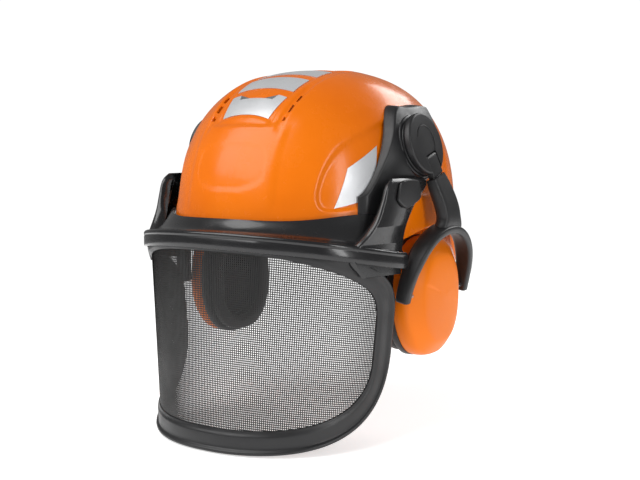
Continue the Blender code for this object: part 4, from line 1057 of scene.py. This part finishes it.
# %% Directions on the muff arm
LEAN, RAKE = math.radians(15), math.radians(17)
FACE = np.array([105.0, -10.0, 64.5])
OUT = np.array([math.cos(LEAN), 0.0, math.sin(LEAN)])
DOWN = np.array([math.sin(LEAN), 0.0, -math.cos(LEAN)])
BACKWARD = np.array([0.0, 1.0, 0.0])
RUN = DOWN * math.cos(RAKE) + BACKWARD * math.sin(RAKE)
ACROSS = BACKWARD * math.cos(RAKE) - DOWN * math.sin(RAKE)
DISC_THICK = 5.7
HINGE = FACE + RUN * 10.7 - OUT * DISC_THICK / 2


def turned(profile, count=96):
    """A profile of (radius, outward) turned about the disc's axis."""
    turn = np.linspace(0, TAU, count, endpoint=False)[None, :, None]
    radius, height = np.asarray(profile, float).T[:, :, None, None]
    around = ACROSS * np.cos(turn) + RUN * np.sin(turn)
    return FACE + around * radius + OUT * height


def pivot_base(side, name):
    """Nested rings, whose foot is cut along the slope of the shell."""
    points = turned([(3, -6.0), (19.5, -6.0), (20.8, -6.3), (21.4, -6.9), (21.6, -7.6), (22.6, -7.7),
                     (23.3, -8.0), (23.6, -8.6), (23.6, -9.8), (23.9, -10.3), (24.9, -10.5),
                     (25.6, -11.0), (25.9, -11.8), (26.2, -14.0)])
    foot = points[-1:].copy()
    height = (foot[..., 2:] - FACE[2]) / 26.0
    foot = foot - OUT * (2.5 + 4.0 * height)
    points = np.concatenate([points, foot])
    points = points if side > 0 else mirror(points)
    return make_piece("pivot_base_" + name, points, SATIN, "shell", ["muff_pivot_base_" + name],
                      angle=45)


def disc_outline(radius=23.0, half=8.0, start=7.5):
    """A circle with a square notch below, for the arm's head."""
    edge = math.asin(half / radius)
    turn = np.linspace(math.pi / 2 + edge, math.pi / 2 - edge + TAU, 120)
    arc = np.stack([radius * np.cos(turn), radius * np.sin(turn)], 1)
    notch_y = np.linspace(arc[-1, 1] - 1, start, 8)
    right = np.stack([np.full(8, half), notch_y], 1)
    floor = np.stack([np.linspace(half - 1, 1 - half, 8), np.full(8, start)], 1)
    left = np.stack([np.full(8, -half), notch_y[::-1]], 1)
    return np.concatenate([arc, right, floor, left])


def pivot_disc(side, name):
    quarter = np.linspace(0, math.pi / 2, 7)
    rims = [(1 - math.sin(q), -DISC_THICK + 1.7 * (1 - math.cos(q))) for q in quarter]
    rims += [(1 - math.sin(q), -1.7 * (1 - math.cos(q))) for q in quarter[::-1]]
    rows = [(disc_outline(23.0 - 1.7 * cut), height) for cut, height in rims]
    disc = np.stack([FACE + flat[:, :1] * ACROSS + flat[:, 1:] * RUN + OUT * height for flat, height in rows])
    turn = np.linspace(-2.6, 0.9, 60)
    rib = FACE + (ACROSS * np.cos(turn)[:, None] + RUN * np.sin(turn)[:, None]) * 11.5 - RUN * 2.0
    ring = np.linspace(0, TAU, 10, endpoint=False)
    around = (rib - FACE + RUN * 2.0)
    around /= np.linalg.norm(around, axis=1, keepdims=True)
    rib = rib[:, None] + around[:, None] * np.cos(ring)[:, None] * 0.45 + OUT * np.sin(ring)[:, None] * 0.5
    grids = [(disc, False), (rib, False)]
    if side < 0:
        grids = [(mirror(points), closed) for points, closed in grids]
    return make_joined("pivot_disc_" + name, grids, SATIN, "muff_disc_" + name,
                       ["muff_pivot_disc_" + name], 35)


def muff_arm(side, name):
    """The arm's head, round about its hinge, and the flat blade that slides in the sleeve."""
    turn = np.linspace(0, math.pi, 13)
    arc = np.stack([2.7 * np.cos(turn), -2.7 * np.sin(turn)], 1)
    shank = np.array([(-2.7, 8.0), (-2.7, 13.4), (-2.0, 14.2), (2.0, 14.2), (2.7, 13.4), (2.7, 9.5),
                      (2.7, 2.0)])
    head = soft_plate(np.concatenate([arc, shank]), -7.5, 7.5, 0.7, (OUT, RUN, ACROSS), HINGE)
    blade = rounded([(-6, -1.8), (6, -1.8), (6, 1.8), (-6, 1.8)], 2)
    blade = soft_plate(blade, 12.3, 40.3, 0.4, (ACROSS, OUT, RUN), HINGE)
    grids = [(head, False), (blade, False)]
    if side < 0:
        grids = [(mirror(points), closed) for points, closed in grids]
    return make_joined("muff_arm_bar_" + name, grids, SATIN, "muff_arm_" + name, ["muff_arm_" + name],
                       35)


for build in (pivot_base, pivot_disc, muff_arm):
    both_sides(build)
print("pivots built")

# %% [markdown]
# ## Ear muffs: the yoke
# The yoke is one moulding: a sleeve over the blade, which bends from the arm's rake to upright,
# and a fork that holds the cup front and rear. The sleeve is a loft of squarish rings along a
# cubic curve. The fork is a rounded bar swept over half an oval.

# %% Yoke
CUP = np.array([0.0, 3.0, -49.0])
CUP_PIVOT = np.array([104.0, 3.0, -45.0])
CUP_HALF_Y, CUP_HALF_Z = 37.0, 44.0
FORK_LEAN = math.radians(12.5)
FORK_UP = np.array([math.sin(FORK_LEAN), 0.0, math.cos(FORK_LEAN)])
FORK_OUT = np.array([math.cos(FORK_LEAN), 0.0, -math.sin(FORK_LEAN)])
FORK_GAP, FORK_WIDTH = 2.6, 7.5


def sleeve():
    """Bezier from the arm's end to the fork's top; rings turn from the arm's axes to the fork's."""
    top = FACE + RUN * 25.6 - OUT * (DISC_THICK / 2 + 0.4)
    foot = CUP_PIVOT + FORK_UP * (CUP_HALF_Z + FORK_GAP + 1) + BACKWARD * 2
    reach = np.linalg.norm(foot - top) / 3
    t = np.linspace(0, 1, 48)[:, None]
    above = foot + np.array([0.3, 0, 1.0]) * reach
    centre = (top * (1 - t) ** 3 + (top + RUN * reach) * 3 * t * (1 - t) ** 2
              + above * 3 * t ** 2 * (1 - t) + foot * t ** 3)
    wide = 11.6 * (1 - 0.16 * (1 - t) ** 5) + 3.0 * smooth(t, 0.75, 1.0) + 0.6 * t
    thick = 5.1 * (1 - 0.2 * (1 - t) ** 4)
    level = blend(ACROSS, BACKWARD, t)
    level /= np.linalg.norm(level, axis=1, keepdims=True)
    out = blend(OUT, np.array([1.0, 0, 0]), t)
    out /= np.linalg.norm(out, axis=1, keepdims=True)
    turn = np.linspace(0, TAU, 56, endpoint=False)
    a, b = oval(turn, 1.0, 1.0, 7.0)
    squeeze = np.where(b > 0, 1 - 0.12 * b, 1.0)
    return (centre[:, None] + level[:, None] * (a * squeeze)[None, :, None] * wide[:, None]
            + out[:, None] * b[None, :, None] * thick[:, None])


def fork():
    """A rounded bar along half an oval, its ends carried down past the pins."""
    half = FORK_WIDTH / 2
    arch = np.linspace(math.pi, 0, 90)
    y, z = oval(arch, CUP_HALF_Y + FORK_GAP + half, CUP_HALF_Z + 0.6 + half, 2.1)
    reach = CUP_HALF_Y + FORK_GAP + half
    drop = np.array([-4.4, -4.0, -3.0, -1.5])
    y = np.concatenate([np.full(4, -reach), y, np.full(4, reach)])
    z = np.concatenate([drop, z, drop[::-1]])
    shrink = np.ones(len(y))
    shrink[[0, 1, -2, -1]] = (0.45, 0.8, 0.8, 0.45)
    path = np.stack([y, z], 1)
    along = np.gradient(path, axis=0)
    along /= np.linalg.norm(along, axis=1, keepdims=True)
    normal = np.stack([-along[:, 1], along[:, 0]], 1)
    ring = np.linspace(0, TAU, 28, endpoint=False)
    a, b = oval(ring, half * 0.86, 1.0, 4.5)
    wide = blend(5.4, 7.0, smooth(z, 0, 34))
    offset = normal[:, None] * (a[None, :, None] * shrink[:, None, None])
    flat = path[:, None] + offset
    depth = b[None, :] * (wide * shrink)[:, None]
    return (CUP_PIVOT + flat[..., :1] * BACKWARD + flat[..., 1:] * FORK_UP + depth[..., None] * FORK_OUT)


def yoke(side, name):
    grids = [(sleeve(), False), (fork(), False)]
    if side < 0:
        grids = [(mirror(points), closed) for points, closed in grids]
    return make_joined("yoke_" + name, grids, SATIN, "muff_yoke_" + name, ["muff_yoke_" + name],
                       40)


both_sides(yoke)
print("yokes built")

# %% [markdown]
# ## Ear muffs: the cup
# The cup is a dished orange shell: a wall, a broad chamfer and a flat face with a shallow step
# across it. Each ring is the same squarish oval, a little narrower below, moved in as the cup
# goes outward. The surface turns over the rim and goes back inside, because the cup is hollow.

# %% Cup


def cup_ring(x, grow, count=160):
    """Ring of the cup at x: superellipse of power 2.5, narrower toward the bottom."""
    turn = np.linspace(0, TAU, count, endpoint=False)
    y, z = oval(turn, CUP_HALF_Y + grow, CUP_HALF_Z + grow, 2.5)
    y = y * (1 - 0.09 * smooth(-z, 0, CUP_HALF_Z)) + 1.5 * smooth(-z, 0, CUP_HALF_Z)
    return np.stack([x + 0 * y, CUP[1] + y, CUP[2] + z], 1)


def cup_grid():
    outer = ((88.0, -0.6), (88.2, 0.0), (90.0, 0.6), (94.0, 1.0), (98.0, 0.9), (101.5, 0.1),
             (103.0, -0.6), (103.8, -1.3), (105.5, -3.3), (107.5, -5.8), (109.5, -8.4), (110.6, -9.9),
             (111.3, -11.0), (111.9, -12.3), (112.3, -14.0), (112.6, -17.0), (112.9, -24.0), (113.0, -32.0))
    rows = [cup_ring(x, grow) for x, grow in outer]
    inner = ((100.0, -12.0), (97.0, -6.0), (92.0, -3.4), (88.4, -2.8), (88.0, -2.2))
    inside = [cup_ring(x, grow) for x, grow in inner]
    points = np.stack(inside + rows)
    step = smooth(points[..., 2] + 0.35 * (points[..., 1] - 3), -46.5, -45.0)
    face = smooth(points[..., 0], 111.0, 112.3)
    points[..., 0] -= 0.45 * face * (1 - step)
    return points


def cup(side, name):
    points = cup_grid()
    points = points if side > 0 else mirror(points)
    return make_piece("cup_" + name, points, CUP_ORANGE, "ear_cup_" + name, ["ear_cup_shell_" + name],
                      angle=32)


def cup_plate(side, name):
    """A flat ring behind the cushion: outline to hole, with a thin section."""
    turn = np.linspace(0, TAU, 120, endpoint=False)
    rows = []
    for share, x in ((-0.07, 86.2), (-0.03, 85.5), (0.95, 85.5), (1, 85.9), (1, 87.3), (0.95, 87.7), (0.03, 87.7),
                     (0.0, 91.5), (-0.08, 91.5), (-0.11, 90.8), (-0.11, 87.0)):
        y, z = oval(turn, blend(CUP_HALF_Y - 0.4, 23.0, share), blend(CUP_HALF_Z - 0.4, 30.0, share), 2.5)
        rows.append(np.stack([x + 0 * y, CUP[1] + y * (1 - 0.07 * smooth(-z, 0, 44)) + smooth(-z, 0, 44),
                              CUP[2] + z], 1))
    points = np.stack(rows, 1)
    points = points if side > 0 else mirror(points)
    return make_piece("cup_plate_" + name, points, SATIN, "ear_cup_" + name, ["ear_cup_plate_" + name],
                      close_rows=True, angle=50)


def cup_foam(side, name):
    """The foam in the cup: a low crowned pad, plain at the rim."""
    turn = np.linspace(0, TAU, 90, endpoint=False)
    rows = []
    for grow, x in ((-30, 88.4), (-20, 88.5), (-10, 88.8), (-3, 89.6), (0, 91.0), (0, 94.0), (-4, 95.2)):
        y, z = oval(turn, 31 + grow, 38 + grow, 2.5)
        ripple = 0.25 * np.sin(y * 0.9) * np.sin(z * 0.9) if x < 89 else 0.0
        rows.append(np.stack([x + ripple + 0 * y, CUP[1] + y, CUP[2] + z], 1))
    points = np.stack(rows)
    points = points if side > 0 else mirror(points)
    made = make_piece("cup_foam_pad_" + name, points, FOAM, "ear_cup_" + name, ["ear_cup_foam_" + name],
                      angle=60)
    return made


for build in (cup, cup_plate, cup_foam):
    both_sides(build)
print("cups built")

# %% [markdown]
# ## Ear cushions
# The cushion that seals against the head is a ring of foam in soft vinyl. It starts as a slim
# tube, is inflated as cloth with a little pressure for a few steps, and is held near its start,
# so it swells between its seams. The right cushion is the mirror image of the left one.

# %% Cushions, with a cloth simulation


def cushion_grid():
    """A flattened tube round a squarish oval: section half 5.2 wide, 4.4 deep."""
    turn = np.linspace(0, TAU, 110, endpoint=False)[:, None]
    ring = np.linspace(0, TAU, 26, endpoint=False)[None, :]
    y, z = oval(turn, 30.0, 37.0, 2.5)
    a, b = oval(ring, 5.6, 4.3, 2.6)
    length = np.hypot(y, z)
    y, z = y + a * y / length, z + a * z / length
    return np.stack([80.4 + b + 0 * turn, CUP[1] + y, CUP[2] + z], -1)


def inflated(name, points, pressure, cap):
    """Vertices and faces of a closed grid after a short cloth simulation, moved by cap at most."""
    mesh = bpy.data.meshes.new(name + "_start")
    rows, columns = points.shape[:2]
    mesh.from_pydata((points.reshape(-1, 3) * MM).tolist(), [],
                     grid_faces(rows, columns, True, True).tolist())
    finish_mesh(mesh, 180)
    made = bpy.data.objects.new(name + "_start", mesh)
    bpy.context.scene.collection.objects.link(made)
    start = points.reshape(-1, 3) * MM
    result = start
    cloth = made.modifiers.new("cloth", "CLOTH")
    cloth.settings.use_pressure = True
    cloth.settings.uniform_pressure_force = pressure
    cloth.settings.effector_weights.gravity = 0
    cloth.settings.mass = 0.3
    cloth.point_cache.frame_start, cloth.point_cache.frame_end = 1, 16
    for step in range(1, 17):
        bpy.context.scene.frame_set(step)
    graph = bpy.context.evaluated_depsgraph_get()
    puffed = made.evaluated_get(graph).to_mesh()
    flat = np.empty(len(puffed.vertices) * 3)
    puffed.vertices.foreach_get("co", flat)
    move = flat.reshape(-1, 3) - start
    far = np.linalg.norm(move, axis=1, keepdims=True)
    result = start + move * np.minimum(1, cap * MM / np.maximum(far, 1e-9))
    bpy.context.scene.frame_set(1)
    bpy.data.objects.remove(made, do_unlink=True)
    return (result / MM).reshape(points.shape)


def seamed(points):
    """A sewn seam round the outer edge: its one column pulled in by about half a millimetre."""
    centre = points.mean(1, keepdims=True)
    pull = np.zeros((1, points.shape[1], 1))
    pull[0, [0], 0] = 0.10
    return points + (centre - points) * pull


left_cushion = seamed(inflated("cushion", cushion_grid(), 3.0, 0.9))
for side, name in ((1, "left"), (-1, "right")):
    points = left_cushion if side > 0 else mirror(left_cushion)
    pad = make_piece("cushion_" + name, points, SKIN, "ear_cup_" + name, ["ear_cushion_" + name],
                     close_rows=True, angle=180)
    pad.modifiers.new("round", "SUBSURF").levels = 1
    pad.modifiers["round"].render_levels = 1
print("cushions built")

# %% [markdown]
# ## The harness inside
# Inside hangs a cradle: a head band with a soft brow pad, a nape strap with a ratchet knob, and
# two woven straps that cross over the head. Each strip is a thin rounded section carried along
# its plan line. The pad on the brow is a thicker strip with soft ribs on its inner face.

# %% Strips along a plan line
BAND_HALF, BAND_FRONT, BAND_END, BAND_BASE = 77.0, 94.0, 40.0, 4.0


def strip(path, low, high, wall, edge=0.6):
    """A closed upright section (low to high, one wall thick) carried along a plan path."""
    along = np.gradient(path, axis=0)
    along /= np.linalg.norm(along, axis=1, keepdims=True)
    out = np.stack([along[:, 1], -along[:, 0]], 1)
    flip = np.sign(np.sum(out * path, 1, keepdims=True))
    out = out * np.where(flip == 0, 1, flip)
    cols = []
    for face in (0, 1):
        for share in np.linspace(0, 1, 8):
            z = blend(low, high, share if face else 1 - share)
            inset = edge * (1 - min(1.0, 12 * share * (1 - share)))
            shift = wall - inset * 0.5 if face else inset * 0.5
            cols.append(np.concatenate([path + out * shift, np.broadcast_to(z, len(path))[:, None]], 1))
    return np.stack(cols, 1)


def band_path(inset, start, end, count=120):
    turn = np.linspace(start, end, count)
    x, y = oval(turn, BAND_HALF - inset, BAND_FRONT - inset, PLAN_POWER)
    return np.stack([x, y], 1)


front = band_path(0.0, 0.0, -math.pi)
tail = np.linspace(BAND_END, 2, 12)
path = np.concatenate([np.stack([np.full(12, BAND_HALF), tail], 1), front[1:-1],
                       np.stack([np.full(12, -BAND_HALF), tail[::-1]], 1)])
make_piece("band", strip(path, BAND_BASE, BAND_BASE + 24.0, 1.8), GREY, "shell", ["head_band"],
           angle=40)


def brow_pad():
    path = band_path(4.2, math.radians(-155), math.radians(-25), 110)
    grid = strip(path, 3.0, 23.0, 2.4, 1.6)
    ribs = 0.5 * (0.5 - 0.5 * np.cos(np.linspace(0, 18 * TAU, len(path))))[:, None, None]
    towards = -np.concatenate([path, np.zeros((len(path), 1))], 1) / 90.0
    inner = np.zeros((1, grid.shape[1], 1))
    inner[0, 1:7, 0] = 1.0
    return grid + ribs * inner * towards[:, None]


pad = make_piece("brow_pad", brow_pad(), FOAM, "shell", ["sweat_band"], angle=60)


def nape_strap():
    half = BAND_HALF - 3.8
    turn = np.linspace(0, math.pi, 120)
    x, y = oval(turn, half, 52.0, PLAN_POWER)
    start = np.linspace(12, 39, 14)
    path = np.concatenate([np.stack([np.full(14, half), start], 1), np.stack([x, y + BAND_END], 1),
                           np.stack([np.full(14, -half), start[::-1]], 1)])
    fall = smooth(path[:, 1], 42, 88)
    return strip(path, blend(8.0, -46.0, fall), blend(22.0, -24.0, fall), 1.8)


make_piece("nape_strap", nape_strap(), GREY, "nape", ["nape_cradle"], angle=40)


def knob():
    """A ratchet knob: its rim is a circle with twelve soft ribs."""
    turn = np.linspace(0, TAU, 240, endpoint=False)
    radius = 15.5 + 0.5 * np.tanh(3 * np.cos(12 * turn))
    outline = np.stack([radius * np.cos(turn), radius * np.sin(turn)], 1)
    return soft_plate(outline, 1.2, 13.2, 1.4, ((1, 0, 0), (0, 0, -1), (0, 1, 0)), np.array([0, 93.8, -34.0]))


make_piece("knob", knob(), SATIN, "knob", ["ratchet_knob"], angle=50)
print("band, pad, nape strap and knob built")

# %% Woven straps over the head
CLIP_ANGLE = math.radians(-52)


def strap(turn, above):
    """A flat woven strap on a superellipse arch, 18 mm wide and 1.4 mm thick."""
    ends = []
    for angle in (turn * CLIP_ANGLE, math.pi + turn * CLIP_ANGLE):
        length = 92.0 if math.sin(angle) > 0 else BAND_FRONT
        x, y = oval(np.array(angle), BAND_HALF + 3.6, length + 3.6, PLAN_POWER)
        ends.append(np.array([float(x), float(y), 0.0]))
    start, end = ends
    share = -np.cos(np.linspace(0, math.pi, 120))[:, None]
    rise = (92.0 + above - 16.0) * (1 - np.abs(share) ** 2.4) ** (1 / 2.4)
    middle = (start + end) / 2 + (end - start) / 2 * share + np.array([0, 0, 1.0]) * (16.0 + rise)
    run = (end - start) / np.linalg.norm(end - start)
    side = np.cross([0, 0, 1.0], run)
    along = np.gradient(middle, axis=0)
    out = np.cross(along, side)
    out /= np.linalg.norm(out, axis=1, keepdims=True)
    out *= np.sign(out[60, 2])
    cols = []
    for offset, lift in ((-8.8, 0.1), (-9, 0.7), (-8.8, 1.3), (-4, 1.4), (0, 1.4), (4, 1.4), (8.8, 1.3), (9, 0.7),
                         (8.8, 0.1), (4, 0), (0, 0), (-4, 0)):
        cols.append(middle + side * offset + out * lift)
    return np.stack(cols, 1)


for name, turn, above in (("a", 1, 0.0), ("b", -1, 2.2)):
    make_piece("strap_" + name, strap(turn, above), WEBBING, "shell", ["crown_strap_" + name],
               angle=60)
print("straps built")

# %% [markdown]
# ## The frame's own pieces
# The pins, bolts and clips are right as they come, and only take their finish.

# %% Finish the pieces that stay
STAYING = {"visor_pivot_pin": STEEL, "muff_pivot_bolt": STEEL, "muff_hinge_pin": STEEL, "cup_pin": STEEL,
           "suspension_clip": GREY}
for name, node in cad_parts.items():
    for stem, look in STAYING.items():
        if name.startswith(stem):
            for slot in node.material_slots:
                slot.material = look
print("finishes set on", sum(name.startswith(tuple(STAYING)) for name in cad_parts), "pieces")

# %% [markdown]
# ## Floor, light and camera
# A product like this is shown on a plain pale ground in soft light: a broad light above and
# behind the camera's left shoulder, a weaker one on the right, and a strip behind for the rim.

# %% Stage
SKY_LIGHT, SKY_SEEN = 0.2, 1.05
low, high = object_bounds()
size = 0.9
floor_mesh = bpy.data.meshes.new("floor")
floor_mesh.from_pydata([(-size, -size, 0), (size, -size, 0), (size, size, 0), (-size, size, 0)], [],
                       [(0, 1, 2, 3)])
floor = bpy.data.objects.new("floor", floor_mesh)
floor.location.z = low.z - 0.001
bpy.context.scene.collection.objects.link(floor)
pale = Finish("pale_floor", Base_Color=colour(0.9, 0.9, 0.9), Roughness=0.9,
              Emission_Color=colour(1.0, 1.0, 1.0), Emission_Strength=0.6)
floor_mesh.materials.append(pale.material)

world = bpy.data.worlds.new("studio")
bpy.context.scene.world = world
world.use_nodes = True
sky = world.node_tree.nodes["Background"]
sky.inputs["Color"].default_value = (1, 1, 1, 1)
seen = world.node_tree.nodes.new("ShaderNodeLightPath")
strength = world.node_tree.nodes.new("ShaderNodeMapRange")
strength.inputs["To Min"].default_value = SKY_LIGHT
strength.inputs["To Max"].default_value = SKY_SEEN
world.node_tree.links.new(seen.outputs["Is Camera Ray"], strength.inputs["Value"])
world.node_tree.links.new(strength.outputs["Result"], sky.inputs["Strength"])


def soft_light(name, spot, target, width, height, watts):
    """A rectangular light at a spot, turned to face its target."""
    data = bpy.data.lights.new(name, "AREA")
    data.shape, data.size, data.size_y, data.energy = "RECTANGLE", width, height, watts
    made = bpy.data.objects.new(name, data)
    made.location = spot
    made.rotation_euler = (Vector(target) - Vector(spot)).to_track_quat("-Z", "Y").to_euler()
    bpy.context.scene.collection.objects.link(made)


soft_light("key", (-0.6, -1.2, 1.3), (0, 0, 0), 1.7, 1.7, 31)
soft_light("fill", (1.6, -0.5, 0.5), (0, 0, 0), 0.3, 1.2, 8.0)
soft_light("rim", (0.3, 1.4, 1.0), (0, 0, 0.05), 1.2, 0.5, 10)

# %% Camera
camera_data = bpy.data.cameras.new("camera")
camera_data.lens, camera_data.sensor_width = 62.2, 36.0
camera = bpy.data.objects.new("camera", camera_data)
camera.location = (0.5031, -0.7143, 0.0700)
aim = Vector((0.0, 0.0042, -0.0129)) - Vector(camera.location)
camera.rotation_euler = aim.to_track_quat("-Z", "Y").to_euler()
bpy.context.scene.collection.objects.link(camera)
bpy.context.scene.camera = camera
bpy.context.scene.view_settings.view_transform = "Standard"
print("camera", [round(v, 3) for v in camera.location])
